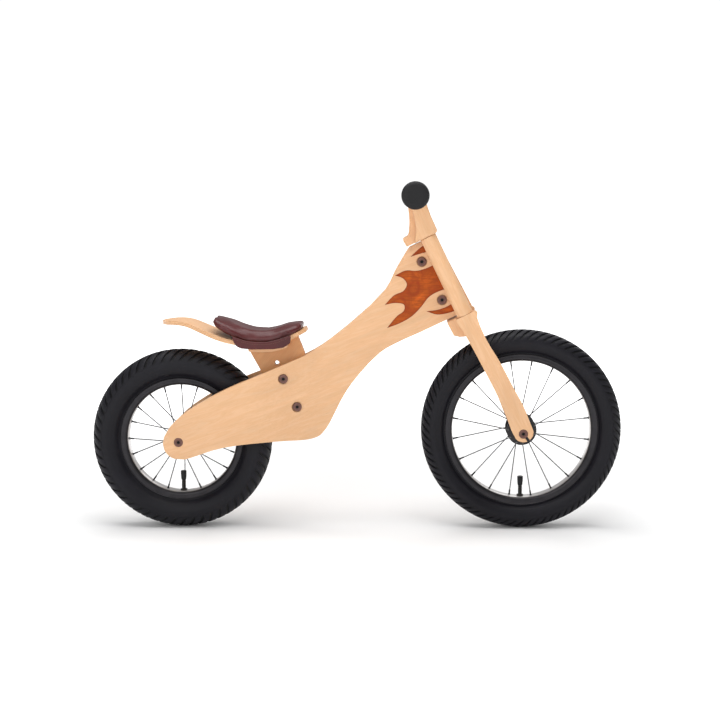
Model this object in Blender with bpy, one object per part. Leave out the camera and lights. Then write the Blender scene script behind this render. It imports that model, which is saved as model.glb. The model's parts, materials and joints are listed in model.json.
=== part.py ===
"""Wooden balance bike: bent-ply frame, turning front cage, two spoked wheels with air tyres.

Frame of reference: +X forward, +Z up, Y across, origin on the ground under the middle of the
bike's length. Metres throughout. Pieces of the steering cage are modelled in the steering
frame: t runs forward, square to the steering axis, and s runs up along it from the height
of the front axle.
"""
import math

import bmesh
import bpy
from mathutils import Matrix, Vector

# ---------------------------------------------------------------- driving sizes
WHEELBASE = 0.594
FRONT_TYRE_OD = 0.350
FRONT_TYRE_WIDTH = 0.048
FRONT_BEAD_DIAMETER = 0.254
REAR_TYRE_OD = 0.315
REAR_TYRE_WIDTH = 0.055
REAR_BEAD_DIAMETER = 0.203
HEAD_ANGLE = math.radians(25.7)
FORK_OFFSET = 0.002
HEAD_TOP = 0.3715
HEAD_BOTTOM = 0.2305
HANDLEBAR_LENGTH = 0.376
HANDLEBAR_T = 0.0097
HANDLEBAR_S = 0.4475

# ---------------------------------------------------------------- sections and walls
PLATE_THICKNESS = 0.012
LEG_THICKNESS = 0.022
COLUMN_RADIUS = 0.014
BAR_RADIUS = 0.010
GRIP_RADIUS = 0.0155
GRIP_LENGTH = 0.105
GRIP_END_RADIUS = 0.0225
GRIP_END_LENGTH = 0.013
GRIP_CAP = 0.002
PIN_RADIUS = 0.005
AXLE_RADIUS = 0.005
AXLE_SHOULDER_RADIUS = 0.0085
BOLT_SHANK_RADIUS = 0.0035
BOLT_SLEEVE_RADIUS = 0.0045
BOLT_HEAD_RADIUS = 0.0078
BOLT_HEAD_HEIGHT = 0.003
HEX_RADIUS = 0.0028
HEX_DEPTH = 0.0018
SHELL_THICKNESS = 0.0070
PAD_THICKNESS = 0.0155
PANEL_THICKNESS = 0.012
TYRE_WALL = 0.004
TUBE_WALL = 0.0015
TUBE_SLACK = 0.88
RIM_HALF_WIDTH = 0.014
RIM_WALL = 0.002
RIM_DEPTH = 0.0068
RIM_FLANGE = 0.0062
HUB_FLANGE_RADIUS = 0.026
HUB_BARREL_RADIUS = 0.0155
SPOKES = 20
SPOKE_RADIUS = 0.0011
BEARING_RADIUS = 0.012
BEARING_WIDTH = 0.008
VALVE_RADIUS = 0.0036
VALVE_STEM = 0.019
VALVE_CAP_RADIUS = 0.0050
VALVE_CAP_LENGTH = 0.016

# ---------------------------------------------------------------- clearances
GAP = 0.0003
WHEEL_CLEARANCE = 0.006
HEAD_CLEARANCE = 0.003
SEAT_ABOVE_TYRE = 0.051
SPOT_DEPTH = 0.0022
SPOT_MARGIN = 0.0016
BUSH_WALL = 0.003
BUSH_LENGTH = 0.018
FLANGE_RADIUS = 0.0115
ROUND = 24
SMALL_ROUND = 16

# ---------------------------------------------------------------- places worked out
FRONT_RADIUS = FRONT_TYRE_OD / 2
REAR_RADIUS = REAR_TYRE_OD / 2
LENGTH = WHEELBASE + FRONT_RADIUS + REAR_RADIUS
FRONT_AXLE = Vector((LENGTH / 2 - FRONT_RADIUS, 0, FRONT_RADIUS))
REAR_AXLE = Vector((REAR_RADIUS - LENGTH / 2, 0, REAR_RADIUS))
STEER_UP = Vector((-math.sin(HEAD_ANGLE), 0, math.cos(HEAD_ANGLE)))
STEER_FORWARD = Vector((math.cos(HEAD_ANGLE), 0, math.sin(HEAD_ANGLE)))
STEER_FOOT = FRONT_AXLE - STEER_FORWARD * FORK_OFFSET
LEG_INNER = FRONT_TYRE_WIDTH / 2 + WHEEL_CLEARANCE
LEG_OUTER = LEG_INNER + LEG_THICKNESS
COLUMN_Y = LEG_OUTER - COLUMN_RADIUS + 0.0005
CROWN_TOP = HEAD_BOTTOM - HEAD_CLEARANCE
YOKE_FOOT = HEAD_TOP + HEAD_CLEARANCE
REAR_INNER = REAR_TYRE_WIDTH / 2 + WHEEL_CLEARANCE + 0.0005
REAR_OUTER = REAR_INNER + PLATE_THICKNESS
SEAT_BASE = Vector((REAR_AXLE.x, 0, REAR_TYRE_OD + SEAT_ABOVE_TYRE))
BEND_REAR_X = REAR_AXLE.x + REAR_RADIUS - 0.057
BEND_FRONT_X = REAR_AXLE.x + REAR_RADIUS + 0.108

WOOD = ((0.86, 0.62, 0.37, 1), 0.42, 0.0)
PANEL_WOOD = ((0.56, 0.31, 0.14, 1), 0.45, 0.0)
BRONZE = ((0.16, 0.09, 0.075, 1), 0.40, 0.85)
STEEL = ((0.42, 0.43, 0.44, 1), 0.30, 1.0)
LEATHER = ((0.10, 0.028, 0.024, 1), 0.38, 0.0)
TYRE_RUBBER = ((0.018, 0.018, 0.022, 1), 0.62, 0.0)
GRIP_RUBBER = ((0.022, 0.022, 0.026, 1), 0.70, 0.0)
BLACK_ALLOY = ((0.022, 0.020, 0.022, 1), 0.36, 0.6)
BLACK_PLASTIC = ((0.02, 0.02, 0.02, 1), 0.45, 0.0)
BRASS = ((0.55, 0.40, 0.18, 1), 0.35, 1.0)


def clear_scene():
    for ob in list(bpy.data.objects):
        bpy.data.objects.remove(ob, do_unlink=True)


def material(name, look):
    colour, roughness, metallic = look
    mat = bpy.data.materials.new(name)
    mat.use_nodes = True
    shader = mat.node_tree.nodes["Principled BSDF"]
    shader.inputs["Base Color"].default_value = colour
    shader.inputs["Roughness"].default_value = roughness
    shader.inputs["Metallic"].default_value = metallic
    return mat


def empty(name, location, rotation=0.0):
    ob = bpy.data.objects.new(name, None)
    ob.location = location
    ob.rotation_euler = (0, rotation, 0)
    bpy.context.scene.collection.objects.link(ob)
    return ob


def finish_mesh(name, bm, look, parent=None, location=(0, 0, 0), smooth=None):
    """Turns a bmesh into a named object with its own material."""
    bmesh.ops.remove_doubles(bm, verts=bm.verts, dist=1e-6)
    bmesh.ops.recalc_face_normals(bm, faces=bm.faces)
    mesh = bpy.data.meshes.new(name)
    bm.to_mesh(mesh)
    bm.free()
    if smooth is not None:
        mesh.shade_smooth()
        mesh.set_sharp_from_angle(angle=math.radians(smooth))
    ob = bpy.data.objects.new(name, mesh)
    ob.location = location
    ob.parent = parent
    bpy.context.scene.collection.objects.link(ob)
    if look is None:
        ob.hide_render = True
        ob.display_type = "WIRE"
    else:
        mesh.materials.append(material(name, look))
    return ob


def smooth_line(points, steps=5):
    """Points along a curve that passes through the given points, without overshoot in length."""
    pts = [Vector(p) for p in points]
    pts = [2 * pts[0] - pts[1]] + pts + [2 * pts[-1] - pts[-2]]
    out = []
    for a, b, c, d in zip(pts, pts[1:], pts[2:], pts[3:]):
        knots = [0.0]
        for p, q in ((a, b), (b, c), (c, d)):
            knots.append(knots[-1] + max((q - p).length, 1e-9) ** 0.5)
        t0, t1, t2, t3 = knots
        for i in range(steps):
            t = t1 + (t2 - t1) * i / steps
            ab = a * ((t1 - t) / (t1 - t0)) + b * ((t - t0) / (t1 - t0))
            bc = b * ((t2 - t) / (t2 - t1)) + c * ((t - t1) / (t2 - t1))
            cd = c * ((t3 - t) / (t3 - t2)) + d * ((t - t2) / (t3 - t2))
            abc = ab * ((t2 - t) / (t2 - t0)) + bc * ((t - t0) / (t2 - t0))
            bcd = bc * ((t3 - t) / (t3 - t1)) + cd * ((t - t1) / (t3 - t1))
            out.append(abc * ((t2 - t) / (t2 - t1)) + bcd * ((t - t1) / (t2 - t1)))
    out.append(Vector(points[-1]))
    return out


def arc(centre, radius, start, end, count):
    """Points of an arc in a plane, in degrees, counter-clockwise from the first axis."""
    step = (end - start) / (count - 1)
    angles = [math.radians(start + step * i) for i in range(count)]
    return [Vector((centre[0] + radius * math.cos(a), centre[1] + radius * math.sin(a))) for a in angles]


def read_line(line, x):
    """Height of a left-to-right line at x."""
    for a, b in zip(line, line[1:]):
        if a[0] <= x <= b[0]:
            share = (x - a[0]) / max(b[0] - a[0], 1e-9)
            return a[1] + (b[1] - a[1]) * share
    return line[0][1] if x < line[0][0] else line[-1][1]


def loft(rings):
    """A closed solid through rings of equal count, capped at both ends."""
    bm = bmesh.new()
    loops = [[bm.verts.new(p) for p in ring] for ring in rings]
    for low, high in zip(loops, loops[1:]):
        for i in range(len(low)):
            j = (i + 1) % len(low)
            bm.faces.new((low[i], low[j], high[j], high[i]))
    bm.faces.new(loops[0])
    bm.faces.new(loops[-1])
    return bm


def prism(outline, y_low, y_high):
    """An outline in the x-z plane pulled out along Y."""
    return loft([[(x, y, z) for x, z in outline] for y in (y_low, y_high)])


def turned(profile, closed=False, segments=ROUND):
    """A profile of (radius, y) points turned about the Y axis."""
    bm = bmesh.new()
    verts = [bm.verts.new((r, y, 0)) for r, y in profile]
    pairs = list(zip(verts, verts[1:]))
    if closed:
        pairs.append((verts[-1], verts[0]))
    edges = [bm.edges.new(pair) for pair in pairs if max(pair[0].co.x, pair[1].co.x) > 0]
    bmesh.ops.spin(
        bm, geom=verts + edges, cent=(0, 0, 0), axis=(0, 1, 0), angle=2 * math.pi,
        steps=segments, use_merge=True, use_duplicate=False,
    )
    return bm


def aim(bm, direction):
    """Turns a Y-axis shape so that its +Y end points along direction."""
    turn = Vector((0, 1, 0)).rotation_difference(Vector(direction).normalized())
    bmesh.ops.rotate(bm, verts=bm.verts, cent=(0, 0, 0), matrix=turn.to_matrix())
    return bm


def rod_shape(radius, y_low, y_high, segments=ROUND):
    return turned([(0, y_low), (radius, y_low), (radius, y_high), (0, y_high)], segments=segments)


def cutter(name, bm, parent=None, location=(0, 0, 0)):
    return finish_mesh(name, bm, None, parent, location)


def boolean(ob, other, operation="DIFFERENCE"):
    mod = ob.modifiers.new(other.name, "BOOLEAN")
    mod.object = other
    mod.operation = operation
    mod.solver = "EXACT"


def drill(obs, name, radius, y_low, y_high, location, parent=None, direction=(0, 1, 0)):
    """Cuts one round hole through each object."""
    shape = rod_shape(radius, y_low, y_high, SMALL_ROUND)
    tool = cutter(name, aim(shape, direction), parent, location)
    for ob in obs:
        boolean(ob, tool)


def stepped_drill(obs, name, radius, seat_radius, low_seat, high_seat, reach, location, parent=None,
                  direction=(0, 1, 0)):
    """Cuts a round hole with a wider seat at both ends through each object."""
    shape = turned([(0, low_seat - reach), (seat_radius, low_seat - reach), (seat_radius, low_seat),
                    (radius, low_seat), (radius, high_seat), (seat_radius, high_seat),
                    (seat_radius, high_seat + reach), (0, high_seat + reach)], segments=SMALL_ROUND)
    tool = cutter(name, aim(shape, direction), parent, location)
    for ob in obs:
        boolean(ob, tool)


# ---------------------------------------------------------------- frame plates
def steer_point(t, s):
    """World x and z of a point of the steering frame."""
    p = STEER_FOOT + STEER_FORWARD * t + STEER_UP * s
    return Vector((p.x, p.z))


def from_rear_axle(points):
    return [Vector((REAR_AXLE.x + x, REAR_AXLE.z + z)) for x, z in points]


def plate_outer(x):
    """Distance of a side plate's outer face from the middle plane, at a station along the bike."""
    share = min(max((x - BEND_REAR_X) / (BEND_FRONT_X - BEND_REAR_X), 0), 1)
    blend = (1 - math.cos(math.pi * share)) / 2
    return REAR_OUTER + (PLATE_THICKNESS + GAP / 2 - REAR_OUTER) * blend


def plate_edges():
    """Upper and lower edge lines of a side plate, both from the rear end to the head's front."""
    end = (REAR_AXLE.x + 0.001, REAR_AXLE.z - 0.002)
    end_radius = 0.028
    nose = steer_point(0.0175, HEAD_BOTTOM + 0.004)
    top = arc(end, end_radius, 180, 152, 6)
    top += smooth_line(
        from_rear_axle([(-0.0150, 0.0265), (0.003, 0.0445), (0.041, 0.0705), (0.089, 0.0955),
                        (0.142, 0.1175), (0.182, 0.1335), (0.218, 0.1485), (0.261, 0.1755)])
        + [steer_point(-0.107, 0.3225), steer_point(-0.075, 0.3465), steer_point(-0.043, 0.3680)], 3
    )
    top += [steer_point(-0.036, HEAD_TOP), steer_point(0.0125, HEAD_TOP), nose]
    low = arc(end, end_radius, 180, 255, 10)
    low += smooth_line(
        from_rear_axle([(0.011, -0.0300), (0.030, -0.0240), (0.061, -0.0135), (0.106, -0.0045),
                        (0.170, -0.0005), (0.213, -0.0005), (0.229, 0.0015), (0.242, 0.0065),
                        (0.255, 0.0215), (0.269, 0.0475), (0.280, 0.0695), (0.299, 0.0995)])
        + [steer_point(-0.162, 0.2285), steer_point(-0.122, 0.2315), steer_point(-0.080, HEAD_BOTTOM)], 3
    )
    corner = 0.004
    low += [steer_point(0.0175 - corner, HEAD_BOTTOM), steer_point(0.0165, HEAD_BOTTOM + 0.001), nose]
    return top, low


def side_plate(name, side):
    """One bent side plate: quads between its edge lines, station by station."""
    top, low = plate_edges()
    stations = sorted({round(p[0], 6) for p in top + low})
    thinned = [stations[0]]
    for x in stations[1:]:
        if x - thinned[-1] > 0.002:
            thinned.append(x)
    thinned[-1] = stations[-1]
    filled = []
    for a, b in zip(thinned, thinned[1:]):
        pieces = max(1, round((b - a) / 0.009)) if a < BEND_FRONT_X else 1
        filled += [a + (b - a) * i / pieces for i in range(pieces)]
    rings = []
    for x in filled[1:]:
        outer = plate_outer(x)
        inner = outer - PLATE_THICKNESS
        z_top = read_line(top, x)
        z_low = read_line(low, x)
        rings.append([(x, side * y, z) for y, z in ((outer, z_low), (outer, z_top), (inner, z_top), (inner, z_low))])
    tip_x = top[0][0]
    tip_outer = plate_outer(tip_x)
    end_x = top[-1][0]
    end_outer = plate_outer(end_x)
    bm = bmesh.new()
    loops = [[bm.verts.new(p) for p in ring] for ring in rings]
    for one, two in zip(loops, loops[1:]):
        for i in range(4):
            j = (i + 1) % 4
            bm.faces.new((one[i], one[j], two[j], two[i]))
    for x, z, outer, ring in ((tip_x, top[0][1], tip_outer, loops[0]), (end_x, top[-1][1], end_outer, loops[-1])):
        a = bm.verts.new((x, side * outer, z))
        b = bm.verts.new((x, side * (outer - PLATE_THICKNESS), z))
        bm.faces.new((a, ring[0], ring[1]))
        bm.faces.new((b, ring[2], ring[3]))
        bm.faces.new((a, ring[1], ring[2], b))
        bm.faces.new((a, b, ring[3], ring[0]))
    return finish_mesh(name, bm, WOOD, smooth=30)


HEAD_BOLTS = {"upper": (-0.0280, 0.3396), "lower": (-0.0250, 0.2649)}
SEAT_BOLTS = {"upper": (0.1808, 0.1085), "lower": (0.2038, 0.0585)}


def connector_bolt(name, x, z, outer):
    """A through bolt: a socket-headed screw from the right into a sleeve nut from the left."""
    seat = outer - SPOT_DEPTH + GAP
    face = seat + BOLT_HEAD_HEIGHT
    edge = 0.0008
    socket = finish_mesh(name + "_socket", rod_shape(HEX_RADIUS, -face - 0.001, -face + HEX_DEPTH, 6),
                         None, location=(x, 0, z))
    sleeve_end = seat - 0.014
    screw = finish_mesh(
        name,
        turned([(0, -face), (BOLT_HEAD_RADIUS - edge, -face), (BOLT_HEAD_RADIUS, -face + edge),
                (BOLT_HEAD_RADIUS, -seat), (BOLT_SHANK_RADIUS, -seat), (BOLT_SHANK_RADIUS, seat - 0.006),
                (0, seat - 0.006)], segments=SMALL_ROUND),
        BRONZE, location=(x, 0, z), smooth=35,
    )
    boolean(screw, socket)
    bore = BOLT_SHANK_RADIUS + GAP
    nut_socket = finish_mesh(name + "_nut_socket", rod_shape(HEX_RADIUS, face - HEX_DEPTH, face + 0.001, 6),
                             None, location=(x, 0, z))
    nut = finish_mesh(
        name + "_nut",
        turned([(bore, -sleeve_end), (BOLT_SLEEVE_RADIUS, -sleeve_end), (BOLT_SLEEVE_RADIUS, seat),
                (BOLT_HEAD_RADIUS, seat), (BOLT_HEAD_RADIUS, face - edge), (BOLT_HEAD_RADIUS - edge, face),
                (0, face), (0, seat - 0.006 + GAP), (bore, seat - 0.006 + GAP)], True, SMALL_ROUND),
        BRONZE, location=(x, 0, z), smooth=35,
    )
    boolean(nut, nut_socket)


def bolt_holes(obs, name, x, z, outer):
    """The through hole and the two spot-faced seats of a connector bolt."""
    seat = outer - SPOT_DEPTH
    stepped_drill(obs, name + "_hole", BOLT_SLEEVE_RADIUS + GAP, BOLT_HEAD_RADIUS + SPOT_MARGIN, -seat, seat,
                  0.02, (x, 0, z))


def spacer(name, side, x, z, radius):
    """A round wooden spacer between the seat panel and a bent plate, its end cut to the plate."""
    start = PANEL_THICKNESS / 2 + GAP
    segments = SMALL_ROUND
    rings = []
    hole = BOLT_SLEEVE_RADIUS + GAP
    angles = [2 * math.pi * i / segments for i in range(segments)]
    for r, far in ((hole, False), (radius, False), (radius, True), (hole, True)):
        ring = []
        for a in angles:
            px = x + r * math.cos(a)
            reach = plate_outer(px) - PLATE_THICKNESS - 2 * GAP if far else start
            ring.append((px, side * reach, z + r * math.sin(a)))
        rings.append(ring)
    bm = bmesh.new()
    loops = [[bm.verts.new(p) for p in ring] for ring in rings]
    for one, two in zip(loops, loops[1:] + loops[:1]):
        for i in range(segments):
            j = (i + 1) % segments
            bm.faces.new((one[i], one[j], two[j], two[i]))
    finish_mesh(name, bm, PANEL_WOOD, smooth=35)


# ---------------------------------------------------------------- seat
def seat_line():
    """Upper surface line of the bent seat shell, from the tail to the nose."""
    base = [(-0.0300, 0.0000), (-0.0030, 0.0010), (0.0170, -0.0020), (0.0380, -0.0105), (0.0620, -0.0210),
            (0.0820, -0.0280), (0.1000, -0.0320), (0.1200, -0.0345), (0.1450, -0.0355), (0.1650, -0.0335),
            (0.1850, -0.0270), (0.2180, -0.0120)]
    return smooth_line([(SEAT_BASE.x + x, SEAT_BASE.z + z) for x, z in base], 3)


def pad_line():
    """Lower line of the saddle pad, which rests on the shell and lifts off it at the tail."""
    base = [(0.0600, -0.0050), (0.0700, -0.0110), (0.0830, -0.0180), (0.1000, -0.0260), (0.1200, -0.0325),
            (0.1450, -0.0349), (0.1650, -0.0328), (0.1850, -0.0263), (0.2165, -0.0118)]
    return smooth_line([(SEAT_BASE.x + x, SEAT_BASE.z + z) for x, z in base], 2)


def offset_line(line, distance):
    """A line moved sideways, up for a positive distance."""
    out = []
    for i, p in enumerate(line):
        along = (line[min(i + 1, len(line) - 1)] - line[max(i - 1, 0)]).normalized()
        out.append(p + Vector((-along[1], along[0])) * distance)
    return out


def seat_half_width(x):
    """Half the seat shell's width at a station: a narrow tail, a full middle and a rounded nose."""
    tail = SEAT_BASE.x - 0.0300
    nose = SEAT_BASE.x + 0.2180
    full = 0.046
    back = 0.033 + (full - 0.033) * min(max((x - tail) / 0.095, 0), 1) ** 1.3
    front = 0.034 + (full - 0.034) * min(max((nose - x) / 0.085, 0), 1) ** 0.8
    width = min(back, front)
    for end, reach, cut in ((tail, 0.036, 0.024), (nose, 0.016, 0.013)):
        near = abs(x - end) / reach
        if near < 1:
            width = width - cut * (1 - math.sqrt(max(1 - (1 - near) ** 2, 0)))
    return width


def pad_half_width(x):
    """Half the pad's width at a station: full in the middle and rounded at both ends."""
    tail = SEAT_BASE.x + 0.0600
    nose = SEAT_BASE.x + 0.2165
    width = 0.045
    for end, reach, cut in ((tail, 0.030, 0.014), (nose, 0.040, 0.016)):
        near = min(abs(x - end) / reach, 1)
        width = width - cut * (1 - math.sqrt(max(1 - (1 - near) ** 2, 0)))
    return width


def seat_shell():
    line = seat_line()
    under = offset_line(line, -SHELL_THICKNESS)
    rings = []
    for top, low in zip(line, under):
        w = seat_half_width(top[0])
        rings.append([(low[0], -w, low[1]), (low[0], w, low[1]), (top[0], w, top[1]), (top[0], -w, top[1])])
    return finish_mesh("seat_shell", loft(rings), WOOD, smooth=30)


def saddle_pad():
    """The padded top, a plain solid that lies on the shell."""
    line = pad_line()
    rings = []
    for i, p in enumerate(line):
        at_end = min(i, len(line) - 1 - i)
        swell = (0.80, 0.95, 1.0)[min(at_end, 2)]
        low = offset_line(line, GAP)[i]
        high = offset_line(line, GAP + PAD_THICKNESS * swell)[i]
        w = pad_half_width(p[0])
        side = low + (high - low) * 0.62
        rings.append([(low[0], -w, low[1]), (low[0], w, low[1]), (side[0], w, side[1]), (high[0], w * 0.86, high[1]),
                      (high[0], -w * 0.86, high[1]), (side[0], -w, side[1])])
    return finish_mesh("saddle_pad", loft(rings), LEATHER, smooth=40)


def saddle_flap(name, side):
    """A leather side flap that hangs beside the shell's edge and the pad's foot."""
    top = [(0.1960, -0.0220), (0.1760, -0.0285), (0.1550, -0.0335), (0.1340, -0.0335), (0.1170, -0.0310),
           (0.0960, -0.0240)]
    bottom = [(0.0960, -0.0290), (0.1010, -0.0390), (0.1110, -0.0448), (0.1480, -0.0462), (0.1830, -0.0432),
              (0.1950, -0.0350)]
    outline = [(SEAT_BASE.x + x, SEAT_BASE.z + z) for x, z in top] + smooth_line(
        [(SEAT_BASE.x + x, SEAT_BASE.z + z) for x, z in bottom], 2)
    inner = 0.046 + GAP
    ys = sorted((side * inner, side * (inner + 0.0025)))
    return finish_mesh(name, prism(outline, *ys), LEATHER, smooth=30)


def seat_panel():
    """The upright panel under the seat, with spare holes for other seat heights."""
    under = [Vector((p[0], p[1])) for p in offset_line(seat_line(), -SHELL_THICKNESS - GAP)]
    left, right = REAR_AXLE.x + 0.1130, REAR_AXLE.x + 0.2042
    top = [p for p in under if left < p[0] < right]
    foot = from_rear_axle([(0.2160, 0.1525), (0.2180, 0.1180), (0.2180, 0.0400), (0.1900, 0.0340),
                           (0.1710, 0.0620)])
    outline = [Vector((left, read_line(under, left)))] + top + [Vector((right, read_line(under, right)))] + foot
    half = PANEL_THICKNESS / 2
    panel = finish_mesh("seat_panel", prism(outline, -half, half), PANEL_WOOD)
    for i, (x, z) in enumerate(((0.1678, 0.1335), (0.1905, 0.0835))):
        drill([panel], f"spare_hole_{i}", 0.004, -0.02, 0.02, (REAR_AXLE.x + x, 0, REAR_AXLE.z + z))
    return panel


def seat_cleat(name, side):
    """A glue block in the corner of the panel and the shell."""
    under = offset_line(seat_line(), -SHELL_THICKNESS - GAP)
    top = [p for p in under if REAR_AXLE.x + 0.118 < p[0] < REAR_AXLE.x + 0.190]
    outline = top + [p - Vector((0, 0.012)) for p in reversed(top)]
    near = PANEL_THICKNESS / 2 + GAP
    ys = sorted((side * near, side * (near + 0.014)))
    return finish_mesh(name, prism(outline, *ys), WOOD)


def seat_screw(name, x, shell, panel):
    """A countersunk screw down through the shell into the panel's edge."""
    line = seat_line()
    z = read_line(line, x) - 0.0026
    shape = [(0, 0), (0.0042, 0), (0.0022, -0.0025), (0.0022, -0.026), (0, -0.030)]
    finish_mesh(name, aim(turned(shape, segments=16), (0, 0, 1)), STEEL, location=(x, 0, z), smooth=35)
    wider = [(0, 0.006), (0.0042 + GAP, 0.006), (0.0042 + GAP, 0), (0.0022 + GAP, -0.0025 - GAP),
             (0.0022 + GAP, -0.031), (0, -0.031)]
    tool = cutter(name + "_hole", aim(turned(wider, segments=16), (0, 0, 1)), location=(x, 0, z))
    for ob in (shell, panel):
        boolean(ob, tool)


# ---------------------------------------------------------------- steering cage
def leg_outline():
    """Side outline of a fork leg, in the steering frame."""
    end = (FORK_OFFSET + 0.0012, 0.0025)
    front = smooth_line([(0.0205, 0.0110), (0.0226, 0.0456), (0.0208, 0.0787), (0.0187, 0.1296),
                         (0.0147, 0.1671), (0.0145, 0.1993), (0.0163, 0.2160)], 4)
    shoulder = arc((0.0160, CROWN_TOP - 0.0045), 0.0045, 0, 90, 5)
    rear = smooth_line([(-0.0185, CROWN_TOP - 0.0005), (-0.0172, 0.2150), (-0.0153, 0.2020),
                        (-0.0132, 0.1703), (-0.0112, 0.1229), (-0.0100, 0.0666), (-0.0118, 0.0375),
                        (-0.0140, 0.0110)], 4)
    return front + shoulder + [Vector((-0.0180, CROWN_TOP))] + rear + arc(end, 0.0172, 195, 345, 14)


def cage_piece(name, outline, y_low, y_high, look, parent):
    return finish_mesh(name, prism(outline, y_low, y_high), look, parent, smooth=30)


def yoke_front():
    """Front edge shared by the yoke's plates and block, upwards."""
    return arc((0.0125, YOKE_FOOT + 0.0065), 0.0065, -90, 0, 5) + [Vector((0.0195, 0.4049)), Vector((0.0215, 0.4250))]


def yoke_outline(rear_points, radius):
    bar = (HANDLEBAR_T, HANDLEBAR_S)
    return yoke_front() + arc(bar, radius, -30, 200, 16) + smooth_line(rear_points, 3)


def steering_cage(steer):
    legs = []
    columns = []
    plates = []
    for side, word in ((-1, "right"), (1, "left")):
        ys = sorted((side * LEG_INNER, side * LEG_OUTER))
        legs.append(cage_piece("fork_leg_" + word, leg_outline(), *ys, WOOD, steer))
        rear = [(-0.0046, 0.4259), (-0.0085, 0.4087), (-0.0126, 0.3963), (-0.0192, 0.3853),
                (-0.0260, YOKE_FOOT)]
        plates.append(cage_piece("yoke_plate_" + word, yoke_outline(rear, 0.017), *ys, WOOD, steer))
        column = aim(rod_shape(COLUMN_RADIUS, CROWN_TOP + GAP, YOKE_FOOT - GAP), (0, 0, 1))
        columns.append(finish_mesh("column_" + word, column, WOOD, steer, (0, side * COLUMN_Y, 0), 35))
    inner = LEG_INNER - GAP
    crown = cage_piece(
        "crown_block",
        [(0.0130, CROWN_TOP), (-0.0315, CROWN_TOP), (-0.0340, CROWN_TOP - 0.0025), (-0.0330, 0.2020),
         (-0.0250, 0.1955), (-0.0100, 0.1900), (0.0130, 0.1900)], -inner, inner, WOOD, steer)
    block_rear = [(-0.0092, 0.4340), (-0.0172, 0.4122), (-0.0234, 0.4005), (-0.0305, 0.3905),
                  (-0.0405, 0.3890), (-0.0402, YOKE_FOOT)]
    block = cage_piece("yoke_block", yoke_outline(block_rear, 0.0175), -inner, inner, WOOD, steer)

    pin_low, pin_high = 0.196, YOKE_FOOT + 0.030
    pin = aim(rod_shape(PIN_RADIUS, pin_low, pin_high, SMALL_ROUND), (0, 0, 1))
    finish_mesh("steering_pin", pin, STEEL, steer, smooth=35)
    drill([crown, block], "pin_hole", PIN_RADIUS + GAP, pin_low - GAP, pin_high + GAP, (0, 0, 0), steer, (0, 0, 1))

    bar_at = (HANDLEBAR_T, 0, HANDLEBAR_S)
    half = HANDLEBAR_LENGTH / 2
    bar = finish_mesh("handlebar", rod_shape(BAR_RADIUS, -half, half), WOOD, steer, bar_at, 35)
    drill([block] + plates, "bar_hole", BAR_RADIUS + GAP, -0.1, 0.1, bar_at, steer)
    screw_tip = HANDLEBAR_T - 0.004
    screw_head = HANDLEBAR_T - 0.0175 - 0.0018
    finish_mesh("handlebar_screw",
                aim(turned([(0, screw_head), (0.0045, screw_head), (0.0045, screw_head + 0.0015),
                            (0.002, screw_head + 0.0015), (0.002, screw_tip), (0, screw_tip)], segments=16),
                    (1, 0, 0)), STEEL, steer, (0, 0, HANDLEBAR_S), 35)
    drill([block, bar], "screw_hole", 0.002 + GAP, screw_head - 0.02, screw_tip + GAP, (0, 0, HANDLEBAR_S), steer,
          (1, 0, 0))
    drill([block], "screw_seat", 0.0045 + GAP, screw_head - 0.02, screw_head + 0.0015 + GAP,
          (0, 0, HANDLEBAR_S), steer, (1, 0, 0))
    for side, word in ((-1, "right"), (1, "left")):
        grip(word, side, steer, bar_at)
    return legs


def grip(word, side, steer, bar_at):
    """A rubber grip with a wide safety end."""
    tip = HANDLEBAR_LENGTH / 2 + GRIP_CAP
    start = tip - GRIP_LENGTH
    flange = tip - GRIP_END_LENGTH
    bore = BAR_RADIUS + GAP
    edge = 0.003
    profile = [(bore, start), (0.0185, start), (0.0195, start + 0.0015), (0.0185, start + 0.004),
               (GRIP_RADIUS, start + 0.006), (GRIP_RADIUS, flange - 0.004), (GRIP_END_RADIUS - edge, flange),
               (GRIP_END_RADIUS, flange + edge), (GRIP_END_RADIUS, tip - edge), (GRIP_END_RADIUS - edge, tip),
               (0, tip), (0, tip - GRIP_CAP + GAP), (bore, tip - GRIP_CAP + GAP)]
    profile = [(r, side * y) for r, y in profile]
    finish_mesh("grip_" + word, turned(profile, closed=True), GRIP_RUBBER, steer, bar_at, 40)


# ---------------------------------------------------------------- wheels
def tyre_section(radius, width, bead, wall):
    """Half-section points of the tyre's outer or inner skin, from one bead over the crown."""
    flange = bead / 2 + RIM_FLANGE
    middle = (flange + radius) / 2 - 0.001
    up = radius - middle - wall
    down = middle - flange - wall * 0.5
    half = width / 2 - wall
    points = []
    count = 11 if wall == 0 else 7
    for i in range(count):
        a = math.radians(150) * (2 * i / (count - 1) - 1)
        reach = up if abs(a) < math.pi / 2 else down
        points.append((middle + reach * math.cos(a), half * math.sin(a)))
    return points


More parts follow.
